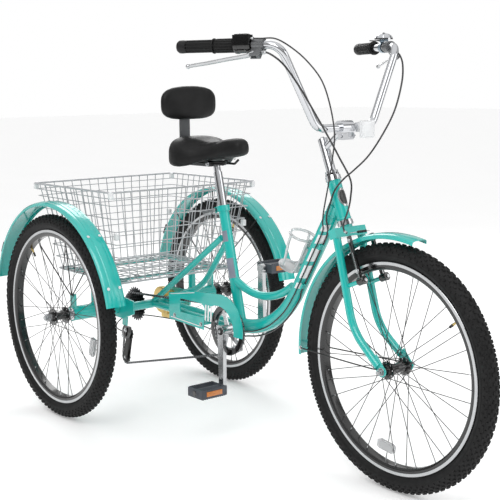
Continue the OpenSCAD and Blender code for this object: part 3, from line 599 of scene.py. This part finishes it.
def badge_ring(scale, crown, bend):
    """The badge's outline, scaled, on the curve of the head tube."""
    return [badge @ Vector((x * scale / 1000, y * scale / 1000, (crown - y * y * bend / 40) / 1000))
            for x, y in oval]


inner = badge_ring(0.78, 1.6, 0.6)
s.add((badge_ring(1, 1.4, 1) + inner,
       [(i, (i + 1) % SIDES, SIDES + (i + 1) % SIDES, SIDES + i) for i in range(SIDES)]), 0)
s.add((inner + [badge @ Vector((0, 0, 0.0022))], [(i, (i + 1) % SIDES, SIDES) for i in range(SIDES)]), 1)
s.make("head_badge", [alloy, black_paint], "frame", slot="chrome")

# Chain guard graphics and screws.
s = Shape()
for k in range(3):
    x = 432 + 14 * k
    s.add(prism([(x, 350), (x + 7, 350), (x + 11, 400), (x + 4, 400)], 0, 0.6), 0, put(0, -67.1, 0) @ ALONG_Y)
s.add(prism([(250, 407), (380, 429), (380, 431), (250, 409)], 0, 0.6), 0, put(0, -67.1, 0) @ ALONG_Y)
s.add(prism([(250, 332), (405, 326), (405, 328.5), (250, 334.5)], 0, 0.6), 0, put(0, -67.1, 0) @ ALONG_Y)
for x, z in ((270, 341), (412, 334)):
    bolt(s, aim(P(x, -67, z), (0, -1, 0)), 1, 5, 3)
s.make("chain_guard_trim", [decal, alloy], "frame", slot="white_plastic")

# Bottle cage.
s = Shape()
CAGE = put(848, 0, 574) @ turn(31.7)
ring = [CAGE @ Vector(((-68 + 36 * cos(radians(a))) / 1000, 36 * sin(radians(a)) / 1000,
        (47 + 6 * cos(radians(a))) / 1000)) for a in range(0, 360, 10)]
s.add(pipe(ring, 4.2, 10, closed=True))
for y in (-1, 1):
    s.add(pipe(curve([CAGE @ (Vector(q) / 1000) for q in ((-78, 35 * y, 46), (-74, 37 * y, 20), (-64, 37 * y,
            -20), (-66, 33 * y, -50),
                                                            (-80, 22 * y, -64), (-94, 0, -66))], 6), 4.0, 10))
    s.add(pipe(curve([CAGE @ (Vector(q) / 1000) for q in ((-34, 7 * y, 60), (-33, 12 * y, 30), (-33, 8 * y,
            -20), (-36, 12 * y, -58), (-52, 20 * y, -66),
                                                            (-80, 18 * y, -66))], 6), 3.6, 10))
s.add(block(5, 18, 120, 2.2), 0, CAGE @ shift(-32, 0, -2))
s.add(revolve([(0.1, -68), (30, -68), (33, -66), (33, -63.5), (0.1, -63.5)], 40), 0, CAGE @ shift(-68, 0, 0))
o = s.make("bottle_cage_moulding", [milky], "frame", slot="clear_plastic")
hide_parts("bottle_cage")
s = Shape()
for z in (-30, 30):
    s.add(peg(4.6, 21.8, 29.6, 18, 0.5), 0, CAGE @ shift(0, 0, z) @ turn(-90))
    bolt(s, CAGE @ shift(-34.6, 0, z) @ turn(-90), 1, 3.6, 3, True)
s.make("bottle_cage_bosses", [teal, alloy], "frame", slot="teal_paint")


# ---- Cushions ----
def apply_all(o):
    bpy.context.view_layer.update()
    dg = bpy.context.evaluated_depsgraph_get()
    me = bpy.data.meshes.new_from_object(o.evaluated_get(dg))
    o.modifiers.clear()
    o.data = me


def swell(o, held, cap, voxel=0.005, pressure=4.0):
    """Remeshes a cushion, blows it up as cloth, limits how far it moved, and smooths it."""
    r = o.modifiers.new("remesh", "REMESH")
    r.mode = "VOXEL"
    r.voxel_size = voxel
    apply_all(o)
    base = [v.co.copy() for v in o.data.vertices]
    group = o.vertex_groups.new(name="held")
    group.add([i for i, c in enumerate(base) if held(c)], 1.0, "REPLACE")
    c = o.modifiers.new("cloth", "CLOTH")
    c.settings.use_pressure = True
    c.settings.uniform_pressure_force = pressure
    c.settings.vertex_group_mass = "held"
    c.settings.effector_weights.gravity = 0
    c.settings.tension_stiffness = 30
    c.settings.compression_stiffness = 30
    c.settings.bending_stiffness = 2
    c.point_cache.frame_start = 1
    c.point_cache.frame_end = 20
    for f in range(1, 21):
        bpy.context.scene.frame_set(f)
    dg = bpy.context.evaluated_depsgraph_get()
    got = [v.co.copy() for v in o.evaluated_get(dg).data.vertices]
    o.modifiers.clear()
    for v, a, b in zip(o.data.vertices, base, got):
        d = b - a
        v.co = a + (d if d.length < cap else d.normalized() * cap)
    bpy.context.scene.frame_set(1)
    sm = o.modifiers.new("smooth", "SMOOTH")
    sm.factor = 0.5
    sm.iterations = 6
    sub = o.modifiers.new("sub", "SUBSURF")
    sub.levels = 1
    sub.render_levels = 1
    apply_all(o)
    o.data.shade_smooth()


# Saddle: station along X, half width, top height at the middle and side, bottom height.
SADDLE = [(274, 42, 902, 900, 866), (279, 74, 909, 908, 850), (292, 96, 915, 915, 842),
        (315, 106, 915, 917, 838),
          (345, 108, 909, 914, 838), (375, 98, 900, 904, 841), (405, 78, 895, 897, 846),
          (435, 60, 896, 895, 852),
          (470, 46, 903, 900, 855), (505, 38, 911, 908, 857), (535, 32, 914, 910, 859),
          (551, 24, 909, 906, 863), (560, 13, 900, 899, 869)]
s = Shape()
rings, sides = [], 36
for x, w, top, edge, low in SADDLE:
    ring_pts = []
    for k in range(sides):
        a = 2 * pi * k / sides
        cy, cz = cos(a), sin(a)
        y = w * (abs(cy) ** 0.72) * (1 if cy >= 0 else -1)
        t = abs(y) / w
        crown = top + (edge - top) * t * t
        hang = low - 36 * min(1, w / 100) ** 2 * t ** 2.4
        mid = hang + (crown - hang) * 0.42
        z = mid + (crown - mid) * abs(cz) ** 0.62 if cz >= 0 else mid - (mid - hang) * abs(cz) ** 0.55
        ring_pts.append(P(x, y, z))
    rings.append(ring_pts)
verts = [p for r in rings for p in r]
faces = []
for i in range(len(rings) - 1):
    for k in range(sides):
        k2 = (k + 1) % sides
        faces.append((i * sides + k, i * sides + k2, (i + 1) * sides + k2, (i + 1) * sides + k))
faces += [tuple(range(sides)), tuple((len(rings) - 1) * sides + k for k in reversed(range(sides)))]
saddle = s.add((verts, faces)).make("saddle_cushion", [vinyl])
sub = saddle.modifiers.new("sub", "SUBSURF")
sub.levels = 2
apply_all(saddle)
swell(saddle, lambda c: c.z < 0.852, 0.006)
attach(saddle, "seat")
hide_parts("saddle")

# Backrest pad: a rounded oblong, thicker in the middle, with a shallow groove near each side.
s = Shape()
verts, faces = [], []


SQUARE = 3.4


def back_point(u, v, front):
    """A point of the pad at (u, v) from its middle, on its front (1) or its back (-1)."""
    k = (abs(u) ** SQUARE + abs(v) ** SQUARE) ** (1 / SQUARE)
    y, z = u * 105, v * 52.5
    edge = max(0.0, 1 - k ** 3)
    groove = 2.6 * math.exp(-((abs(u) - 0.62) / 0.07) ** 2) if front > 0 else 0
    x = 276 + (front * (5 + 17 * edge ** 0.55)) + (6 * (1 - u * u)) - groove
    return P(x, y, 1018.5 + z - 5 * u * u * (1 if v > 0 else 0.3))


loop = []
for i in range(44):
    a = 2 * pi * i / 44
    c, q = cos(a), sin(a)
    n = (abs(c) ** SQUARE + abs(q) ** SQUARE) ** (1 / SQUARE)
    loop.append((c / n, q / n))
steps = [0.0, 0.2, 0.4, 0.6, 0.78, 0.9, 0.97, 1.0]
for front in (1, -1):
    base = len(verts)
    verts.append(back_point(0, 0, front))
    for t in steps[1:]:
        verts += [back_point(u * t, v * t, front) for u, v in loop]
    for k in range(44):
        faces.append((base, base + 1 + k, base + 1 + (k + 1) % 44))
    for r in range(len(steps) - 2):
        for k in range(44):
            k2 = (k + 1) % 44
            o0, o1 = base + 1 + r * 44, base + 1 + (r + 1) * 44
            faces.append((o0 + k, o1 + k, o1 + k2, o0 + k2))
half = len(verts) // 2
for k in range(44):
    k2 = (k + 1) % 44
    a = half - 44
    faces.append((a + k, a + half + k, a + half + k2, a + k2))
backrest = s.add((verts, faces)).make("backrest_cushion", [vinyl])
swell(backrest, lambda c: c.x < P(262, 0, 0).x, 0.006)
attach(backrest, "seat")
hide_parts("backrest")
s = Shape()
for y in (-1, 1):
    for x in (340, 480):
        bolt(s, aim(P(x, 22 * y, 850), (0, 0, -1)), 0, 3, 2)
    bolt(s, aim(P(415, 34 * y, 834), (0, y, 0)), 0, 6, 5)
for z in (985, 1010, 1035):
    bolt(s, aim(P(250, 0, z), (-1, 0, 0)), 0, 4, 3)
s.make("seat_hardware", [alloy], "seat", slot="steel")


# ---- Handlebar ----
RUN = sqrt(269 ** 2 + 118 ** 2)
AXLE_X = turn(90, "Y")


def ribbed(s0, s1, r, ribs, depth, ends=1.5):
    """A ribbed sleeve's profile along its own axis, in mm."""
    prof = [(r - 2.5, s0), (r, s0 + ends)]
    for i in range(ribs):
        a = s0 + ends + (s1 - s0 - 2 * ends) * i / ribs
        b = (s1 - s0 - 2 * ends) / ribs
        prof += [(r, a + b * 0.12), (r - depth, a + b * 0.3), (r - depth, a + b * 0.62), (r, a + b * 0.84)]
    return prof + [(r, s1 - ends), (r - 2.5, s1)]


for key, flip in (("right", None), ("left", FLIP)):
    g = GRIP if flip is None else FLIP @ GRIP
    s = Shape()
    start = 186 if flip is None else 166
    prof = ribbed(start + 1, RUN - 26, 15.6, 26, 0.8) + [(16.5, RUN - 24), (17.4, RUN - 10), (17.0, RUN - 2),
            (14, RUN + 2.5), (0.05, RUN + 3)]
    s.add(revolve(prof, 40), 0, g @ AXLE_X)
    s.add(revolve([(12, start + 0.4), (19.5, start + 0.4), (20, start + 1.5), (20, start + 3.2),
            (15, start + 4.6)], 40), 0, g @ AXLE_X)
    for k in range(12):
        s.add(block(84, 2.2, 1.5, 0.6), 0, g @ turn(30 * k, "X") @ shift((start + RUN) / 2 - 6, 0, 15.9))
    o = s.make(f"{key}_grip", [grip_rubber], "steering", slot="grip_rubber")
    if flip is None:
        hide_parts("handlebar_grips")

s = Shape()
s.add(revolve(ribbed(125, 185, 18, 14, 1.3, 3), 48), 0, GRIP @ AXLE_X)
for k in range(16):
    s.add(block(50, 2.6, 2.0, 0.7), 0, GRIP @ turn(22.5 * k, "X") @ shift(155, 0, 17.6))
o = s.make("gear_twist_grip", [grip_rubber], "twist", slot="grip_rubber")
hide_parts("twist_grip")
s = Shape()
s.add(block(40, 20, 9, 4, 3), 0, GRIP @ shift(99, 15, 24.5))
s.add(revolve([(21.3, 80), (22.3, 82), (22.3, 90), (21.3, 92)], 44), 0, GRIP @ AXLE_X)
s.add(revolve([(21.3, 112), (22.3, 114), (22.3, 121), (21.3, 123)], 44), 0, GRIP @ AXLE_X)
s.add(block(17, 8, 1.4, 0.6), 1, GRIP @ shift(98, 15, 29.2))
s.make("shifter_window", [gloss_black, white_plastic], "steering", slot="gloss_black")

for key, flip in (("right", None), ("left", FLIP)):
    m = LEVER if flip is None else FLIP @ LEVER
    s = Shape()
    path = [(64, 30), (72, 33), (84, 37), (104, 41), (130, 45.5), (160, 52), (190, 58.5), (215, 62.5),
            (234, 66), (242, 68)]
    widths = [8.0, 8.0, 7.4, 7.0, 6.8, 6.6, 6.4, 6.2, 6.0, 5.6]
    verts, faces, n = [], [], 14
    for (x, y), w in zip(path, widths):
        for k in range(n):
            a = 2 * pi * k / n
            verts.append(m @ (Vector((x, y + 3.4 * sin(a), w * cos(a) * 0.95)) / 1000))
    for i in range(len(path) - 1):
        for k in range(n):
            faces.append((i * n + k, i * n + (k + 1) % n, (i + 1) * n + (k + 1) % n, (i + 1) * n + k))
    faces += [tuple(range(n)), tuple((len(path) - 1) * n + k for k in range(n))]
    s.add((verts, faces))
    s.add(revolve([(0.05, -6.5)] + [(6.5 * cos(radians(a)), 6.5 * sin(radians(a)))
            for a in range(-75, 90, 15)] + [(0.05, 6.5)], 20), 0, m @ shift(243, 68, 0))
    s.add(peg(6.8, -4.2, 4.2, 24, 0.8), 0, m @ shift(64, 30, 0))
    body = f"{key}_lever"
    o = s.make(f"{key}_lever_blade", [alloy], body, smooth=50, slot="silver_alloy")
    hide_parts(f"{key}_brake_lever")
    s = Shape()
    s.add(peg(3.2, -8.6, 8.6, 16, 0.5), 0, m @ shift(64, 30, 0))
    s.add(peg(5.0, 0, 7, 18, 0.7), 0, m @ shift(43, 26, 0) @ turn(-90))
    s.add(revolve([(3.4, 0)] + [(5.2 if k % 2 else 4.6, 2 + k) for k in range(9)] + [(3.2, 13), (0.05, 13)],
            22), 0, m @ shift(42.5, 26, 0) @ turn(-90))
    bolt(s, m @ shift(58, -16.2, 0) @ turn(90, "X"), 0, 3.2, 3)
    s.make(f"{key}_lever_fittings", [alloy], "steering", slot="silver_alloy")

# Bell base, stem bolts, headset steps.
s = Shape()
b = FLIP @ GRIP @ shift(96, 0, 0)
s.add(revolve([(8.2, 13.8), (12, 15), (13.5, 18), (13, 21.6), (8.2, 21.9)], 32), 0, b)
s.add(revolve([(15.1, -9.2), (16, -8), (16, 8), (15.1, 9.2)], 36), 0, b @ AXLE_X)
s.add(peg(3.2, 39.6, 42, 18, 0.8), 1, b)
s.make("bell_trim", [bell_blue, chrome], "steering", slot="chrome")
s = Shape()
bolt(s, aim(P(994, 22, 936), (0, 1, 0)), 0, 5, 4)
bolt(s, aim(P(994, -22, 936), (0, -1, 0)), 0, 5, 4)
bolt(s, STEER @ shift(0, 0, 235), 0, 6, 4)
for z, r in ((-9, 22.2), (-3, 20.5), (116, 22.2), (123, 20)):
    s.add(revolve([(r - 1.6, z - 2.4), (r, z - 1.6), (r, z + 1.6), (r - 1.6, z + 2.4)], 44), 0, STEER)
s.add(revolve([(18.1, 128.5), (18.9, 129.5), (18.9, 134), (18.1, 135)], 8), 1, STEER)
s.make("stem_and_headset_trim", [chrome, gloss_black], "steering", slot="chrome")
s = Shape()
m = put(1018, 51, 953)
s.add(block(8, 42, 42, 3), 0, m @ shift(5.2, 0, 0))
s.make("front_reflector_lens", [white_plastic], "steering", slot="white_plastic")

# ---- Brakes ----
for key, y in (("right", -1), ("left", 1)):
    s = Shape()
    m = STEER @ shift(43, 42 * y, -176)
    s.add(peg(11.5, 11, 16.5, 28, 1.5), 0, m @ AXLE_X)
    s.add(revolve([(0.05, 20.5), (4.5, 20.5), (5.5, 19.5), (5.5, 16.5)], 6), 1, m @ AXLE_X)
    s.add(block(11, 9, 92, 3, 3), 0, m @ shift(0, 0, 62))
    s.add(block(50, 8.5, 10.5, 2.4), 2, m @ shift(8, -23.4 * y + 4.7 * y, 28.5))
    bolt(s, m @ shift(0, 4.6 * y, 28) @ turn(-90 * y, "X"), 1, 4.6, 4)
    bolt(s, m @ shift(0, 4.6 * y, 112) @ turn(-90 * y, "X"), 1, 3.6, 4)
    s.add(pipe([m @ (Vector((3, 6.4 * y, z)) / 1000) for z in (2, 30, 52, 78)], 0.8, 6), 1)
    s.make(f"{key}_brake_arm_detail", [gloss_black, alloy, satin_black], f"{key}_arm", slot="black_alloy")
s = Shape()
s.add(pipe([P(1044, 36, 683), P(1044, -37, 683)], 1.0, 6), 1)
s.add(revolve([(2.6 + 1.4 * abs(sin(k * 0.9)), -16 + 2 * k) for k in range(17)], 14), 0,
        aim(P(1044, 6, 683), (0, 1, 0)))
s.make("brake_link_boot", [satin_black, steel], "steering", slot="black_alloy")
s = Shape()
s.add(revolve([(42.3, 63), (42.3, 83)], 60), 0, put(0, 0, 333.5) @ ALONG_Y @ Matrix.Scale(-1, 4, (0, 0, 1)))
for k in range(6):
    a = radians(60 * k + 20)
    bolt(s, aim(P(26 * cos(a), 84.2, 333.5 + 26 * sin(a)), (0, 1, 0)), 1, 3.4, 2.5)
s.make("brake_drum_trim", [brass, steel], "axle", slot="zinc")

# ---- Cables ----
GEAR = [(909, -263, 1191), (942, -253, 1190), (980, -237, 1188), (1005, -205, 1165), (1015, -160, 1130),
        (1017, -112, 1080),
        (1015, -80, 1010), (1006, -58, 940), (990, -50, 880), (975, -48, 820), (960, -46, 770),
        (948, -44, 730), (936, -36, 700),
        (924, -25, 674), (887, -24, 614), (845, -24, 546), (813, -24, 494), (803, -24, 478), (759, -24, 422),
        (694, -24, 372),
        (629, -24, 344), (570, -24, 331), (545, -24, 308), (515, -25, 304), (440, -28, 310), (330, -29, 318),
        (220, -29, 312),
        (100, -29, 304), (20, -29, 296), (-50, -30, 286), (-84, -36, 272), (-98, -52, 254), (-88, -65, 241),
        (-62, -70, 236), (-40, -70, 235)]
REAR_BRAKE = [(939, 247, 1154.5), (957, 239, 1152), (985, 222, 1125), (1003, 200, 1075), (1010, 165, 1000),
        (1008, 120, 935),
              (1000, 75, 880), (993, 30, 845), (985, -5, 820), (975, -28, 790), (962, -34, 750),
              (948, -33, 715), (932, -14, 668),
              (895, -12, 608), (853, -12, 540), (821, -12, 488), (817, -12, 470), (796, -12, 441),
              (770, -12, 411), (740, -12, 384),
              (702, -12, 358), (661, -12, 338), (617, -12, 324), (572, -12, 316), (545, -10, 308),
              (515, -2, 304), (440, 12, 306),
              (340, 40, 308), (240, 60, 300), (150, 72, 290), (90, 73, 284), (62, 73, 280)]
FRONT_BRAKE = [(939, -247, 1154.5), (957, -239, 1152), (985, -217, 1125), (1005, -182, 1070),
        (1016, -137, 1000), (1022, -97, 940),
               (1024, -56, 880), (1024, -16, 820), (1026, -18, 775), (1029, -30, 742), (1034, -48, 716),
               (1040, -58, 700), (1043, -56, 689), (1044, -49, 684)]
for name, route, r, node in (("gear_cable_sleeve", GEAR, 2.0, "gear_cable"),
        ("rear_brake_cable_sleeve", REAR_BRAKE, 2.5, "rear_brake_cable"),
                             ("front_brake_cable_sleeve", FRONT_BRAKE, 2.5, "front_brake_cable")):
    line = curve([P(*p) for p in route], 6)
    s = Shape().add(pipe(line, r, 12))
    for end, nxt in ((line[0], line[2]), (line[-1], line[-3])):
        s.add(peg(r + 0.9, -0.5, 11, 14, 0.4), 1, aim(end, nxt - end))
    o = s.make(name, [cable_black, alloy], smooth=60, slot="cable_sleeve")
    if node == "front_brake_cable":
        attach(o, "steering")
    else:
        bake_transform(o)
    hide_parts(node)

# ---- Drive ----
LINK = 12.7
RING, COG, PULLEY = (LINK * n / (2 * pi) for n in (36, 20, 11))


def toothed(n, tip, root):
    """An outline with n pointed teeth, between the two radii in mm."""
    pts = []
    for i in range(n):
        a = 2 * pi * i / n
        w = 2 * pi / n
        for da, r in ((-0.5, root), (-0.3, root + 0.4), (-0.14, tip - 1.0), (0.0, tip), (0.14, tip - 1.0),
                (0.3, root + 0.4)):
            pts.append((r * cos(a + da * w), r * sin(a + da * w)))
    return pts


def circle(r, n):
    return [(r * cos(2 * pi * i / n), r * sin(2 * pi * i / n)) for i in range(n)]


BB = put(535, 0, 335) @ ALONG_Y
s = Shape()
s.add(prism(toothed(36, RING + 2.8, RING - 4.2), 51.8, 54.2, circle(55, 216)), 0, BB)
s.add(prism(circle(77.6, 120), 60.2, 61.9, circle(62, 120)), 1, BB)
for k in range(5):
    a = radians(90 + 72 * k)
    d = Vector((cos(a) * 0.0585, sin(a) * 0.0585, 0))
    bolt(s, BB @ Matrix.Translation(d + Vector((0, 0, 0.0578))), 0, 4.2, 2.6)
    s.add(peg(4, 53.8, 60.5, 16, 0.3), 0, BB @ Matrix.Translation(d * 1.12))
o = s.make("toothed_chainring", [steel, gloss_black], "crank", slot="steel")
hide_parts("chainring")
s = Shape()
for y, k in ((-86, -1), (86, 1)):
    s.add(peg(11, 0, 2.6, 28, 0.8), 0, aim(P(535, y, 335), (0, k, 0)))
    s.add(peg(6, 2, 4, 6, 0.5), 1, aim(P(535, y, 335), (0, k, 0)))
s.make("crank_caps", [satin_black, alloy], "crank", slot="silver_alloy")

AX = put(0, 0, 333.5) @ ALONG_Y
s = Shape()
for i, n in enumerate((28, 24, 22, 20, 18, 16, 14)):
    y = 38 + 5 * i
    pr = LINK * n / (2 * pi)
    s.add(prism(toothed(n, pr + 2.6, pr - 4.2), y - 0.95, y + 0.95, circle(19.8, 6 * n)), 0, AX)
s.add(revolve([(8.9, 36.2), (19.6, 36.2), (20, 37), (20, 69), (18.5, 69.8), (8.9, 69.8)], 48, loop=True), 0,
        AX)
for k in range(10):
    s.add(block(3, 4, 1.6, 0.4), 1, AX @ turn(36 * k, "Z") @ shift(14.5, 0, 69.6))
o = s.make("toothed_sprockets", [dark_steel, steel], "freewheel", slot="cog_steel")
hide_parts("freewheel")

# Chain: the outline round the chainring, the sprocket and the lower pulley, walked one link at a time.
rounds = [((535, 335), RING), ((0, 333.5), COG), ((-45, 140), PULLEY)]


def tangent(c1, c2):
    (x1, y1), r1 = c1
    (x2, y2), r2 = c2
    d = Vector((x2 - x1, y2 - y1))
    a = atan2(d.y, d.x) + math.acos((r1 - r2) / d.length) * -1
    n = Vector((cos(a), sin(a)))
    return Vector((x1, y1)) + n * r1, Vector((x2, y2)) + n * r2


line = []
for i in range(3):
    c0, c1, c2 = rounds[i - 1], rounds[i], rounds[(i + 1) % 3]
    into = tangent(c0, c1)[1]
    out = tangent(c1, c2)[0]
    c = Vector(c1[0])
    a0 = atan2(into.y - c.y, into.x - c.x)
    a1 = atan2(out.y - c.y, out.x - c.x)
    while a1 < a0:
        a1 += 2 * pi
    line += [c + Vector((cos(a0 + (a1 - a0) * k / 40), sin(a0 + (a1 - a0) * k / 40))) * c1[1]
            for k in range(41)]
total = sum((line[(i + 1) % len(line)] - p).length for i, p in enumerate(line))
count = 2 * round(total / LINK / 2)
spots, want, gone = [], 0.0, 0.0
for i, p in enumerate(line):
    q = line[(i + 1) % len(line)]
    seg = (q - p).length
    while want <= gone + seg - 1e-9 and len(spots) < count:
        spots.append(p + (q - p) * ((want - gone) / seg if seg else 0))
        want += total / count
    gone += seg
plate = [(sx + 4.0 * cos(radians(a)), (4.0 if abs(a) % 180 != 90 else 2.9) * sin(radians(a))) for sx,
        span in ((6.35, range(-90, 91, 30)), (-6.35, range(90, 271, 30))) for a in span]
s = Shape()
for i, p in enumerate(spots):
    q = spots[(i + 1) % len(spots)]
    mid = (p + q) / 2
    m = aim(P(mid.x, -53, mid.y), (0, -1, 0), (q.x - p.x, 0, q.y - p.y))
    off = 2.75 if i % 2 else 1.75
    for k in (-1, 1):
        s.add(prism(plate, k * off - 0.45, k * off + 0.45), 0, m)
    s.add(peg(3.6, -1.2, 1.2, 10, 0.2), 1, aim(P(p.x, -53, p.y), (0, -1, 0)))
    s.add(peg(1.8, -3.3, 3.3, 8, 0.2), 1, aim(P(p.x, -53, p.y), (0, -1, 0)))
o = s.make("chain_links", [dark_steel, steel], "frame", slot="chain_steel")
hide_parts("chain")
s = Shape()
for x, z, y in ((-22, 228, -76.2), (-6, 246, -80.2), (-30, 222, -76.2)):
    bolt(s, aim(P(x, y, z), (0, -1, 0)), 1, 5.5, 3)
s.add(block(20, 6, 30, 2.5), 0, put(-16, -78.4, 236))
s.make("derailleur_trim", [gloss_black, alloy], "derailleur", slot="gloss_black")
s = Shape()
for x, z in ((-45, 140), (-22, 228)):
    bolt(s, aim(P(x, -59.6, z), (0, -1, 0)), 1, 3.6, 2.2)
    m = put(x, 0, z) @ ALONG_Y
    s.add(prism(toothed(11, PULLEY + 1.6, PULLEY - 4.2), 52.2, 53.8, circle(8, 66)), 0, m)
s.make("derailleur_wheels", [satin_black, alloy], "derailleur_cage", slot="black_steel")

# Pedals: teeth, reflectors and end caps.
for key, y, z in (("right", -138, 160), ("left", 138, 510)):
    s = Shape()
    c = P(535, y, z)
    for k in (-1, 1):
        for i in range(11):
            for up in (-1, 1):
                s.add(block(7.4, 4.2, 3.2, 0.8, 1), 0, Matrix.Translation(c) @ shift(31 * k, -41 + 8.2 * i,
                        14.2 * up))
        s.add(block(2.4, 58, 15, 1.0), 1, Matrix.Translation(c) @ shift(35.6 * k, 0, 0))
        s.add(block(34, 2.4, 9, 1.0), 1 if k * y > 0 else 0,
                Matrix.Translation(c) @ shift(0, 47.8 * (1 if y > 0 else -1), 0)
                if k > 0 else Matrix.Translation(c) @ shift(0, 0, -12.6))
    s.add(peg(9, 47, 50, 20, 1), 2, aim(c, (0, 1 if y > 0 else -1, 0)))
    s.make(f"{key}_pedal_teeth", [pedal_grey, amber, gloss_black], f"{key}_pedal", slot="pedal_plastic")

# Hub caps and axle nuts.
for y in (-1, 1):
    s = Shape()
    s.add(revolve([(8.8, 370), (15.5, 370), (16.5, 368.5), (16.5, 366), (8.8, 366)], 36), 0,
            put(0, 0, 333.5) @ turn(-90 * y, "X"))
    s.add(peg(8, 388, 391, 24, 1), 1, put(0, 0, 333.5) @ turn(-90 * y, "X"))
    s.make(f"rear_axle_cap_{'left' if y > 0 else 'right'}", [gloss_black, steel], "axle", slot="hub_black")
s = Shape()
for y in (-1, 1):
    s.add(peg(11, 54.1, 55.6, 30, 0.4), 0, put(1178, 0, 333.5) @ turn(-90 * y, "X"))
s.make("front_axle_washers", [steel], "steering", slot="steel")

# ---- CAD nodes that stay, with their finishes ----
FINISH = {
    teal: ("front_frame", "seat_collar", "axle_housings", "basket_rack", "fork", "chain_guard"),
    chrome: ("bearing_cups", "stem", "handlebar", "seat_post", "bell_base"),
    steel: ("front_axle", "rear_axle", "seat_clamp_lever"),
    alloy: ("right_crank", "left_crank", "bell_lever"),
    satin_black: ("fender_fittings", "saddle_rails", "derailleur_cage"),
    gloss_black: ("front_hub", "right_hub", "left_hub", "shifter_housing", "derailleur_body",
    "right_brake_arm", "left_brake_arm"),
    spoke_steel: ("front_spokes", "right_spokes", "left_spokes"),
    brass: ("brake_band", "brake_drum"),
    grey_alloy: ("lever_clamps",),
    grey_strap: ("backrest_post",),
    white_plastic: ("front_reflector",),
    pedal_grey: ("right_pedal", "left_pedal"),
}
for mat, names in FINISH.items():
    for name in names:
        o = nodes[name]
        if not o.material_slots:
            o.data.materials.append(mat)
        for k in o.material_slots:
            k.material = mat

# ---- Floor and light ----
FLOOR_GLOW, FLOOR_HALF = 0.22, 30
floor_mat = material("pale_floor", (0.93, 0.93, 0.93), 0.85, vary=0.01, patch=2, rough_vary=0.05)
floor_look = next(n for n in floor_mat.node_tree.nodes if n.type == "BSDF_PRINCIPLED")
floor_look.inputs["Emission Color"].default_value = (1, 1, 1, 1)
floor_look.inputs["Emission Strength"].default_value = FLOOR_GLOW
me = bpy.data.meshes.new("floor")
corners = [(FLOOR_HALF * x, FLOOR_HALF * y, 0) for x, y in ((-1, -1), (1, -1), (1, 1), (-1, 1))]
me.from_pydata(corners, [], [(0, 1, 2, 3)])
me.materials.append(floor_mat)
floor = bpy.data.objects.new("floor", me)
bpy.context.scene.collection.objects.link(floor)

# The camera sees plain white; lighting and reflections see soft bands of grey by height.
world = bpy.data.worlds.new("studio")
bpy.context.scene.world = world
world.use_nodes = True
wt = world.node_tree
base_light = wt.nodes["Background"]
base_light.inputs["Color"].default_value = (1, 1, 1, 1)
base_light.inputs["Strength"].default_value = 1.0
soft_light = wt.nodes.new("ShaderNodeBackground")
where = wt.nodes.new("ShaderNodeTexCoord")
split = wt.nodes.new("ShaderNodeSeparateXYZ")
shade = wt.nodes.new("ShaderNodeValToRGB")
stops = shade.color_ramp.elements
stops[0].position, stops[0].color = 0.0, (0.10, 0.10, 0.10, 1)
stops[1].position, stops[1].color = 1.0, (1, 1, 1, 1)
for at, v in ((0.12, 0.14), (0.24, 0.62), (0.42, 0.9), (0.48, 0.12), (0.53, 0.12), (0.6, 0.9)):
    e = stops.new(at)
    e.color = (v, v, v, 1)
seen = wt.nodes.new("ShaderNodeLightPath")
mix = wt.nodes.new("ShaderNodeMixShader")
wt.links.new(where.outputs["Generated"], split.inputs["Vector"])
wt.links.new(split.outputs["Z"], shade.inputs["Fac"])
wt.links.new(shade.outputs["Color"], soft_light.inputs["Color"])
wt.links.new(seen.outputs["Is Camera Ray"], mix.inputs["Fac"])
wt.links.new(soft_light.outputs["Background"], mix.inputs[1])
wt.links.new(base_light.outputs["Background"], mix.inputs[2])
wt.links.new(mix.outputs["Shader"], wt.nodes["World Output"].inputs["Surface"])
bpy.context.scene.view_settings.view_transform = "Standard"


def lamp(name, spot, target, size, power):
    d = bpy.data.lights.new(name, "AREA")
    d.shape = "RECTANGLE"
    d.size, d.size_y = size
    d.energy = power
    o = bpy.data.objects.new(name, d)
    bpy.context.scene.collection.objects.link(o)
    o.matrix_world = aim(spot, Vector(spot) - Vector(target))
    return o


lamp("key", (1.6, -2.6, 3.2), (0, 0, 0.5), (2.4, 2.4), 55)
lamp("fill", (3.4, 1.8, 1.8), (0, 0, 0.6), (2.0, 2.4), 22)
lamp("rim", (-2.6, 1.6, 2.6), (0, 0, 0.6), (1.6, 2.0), 30)
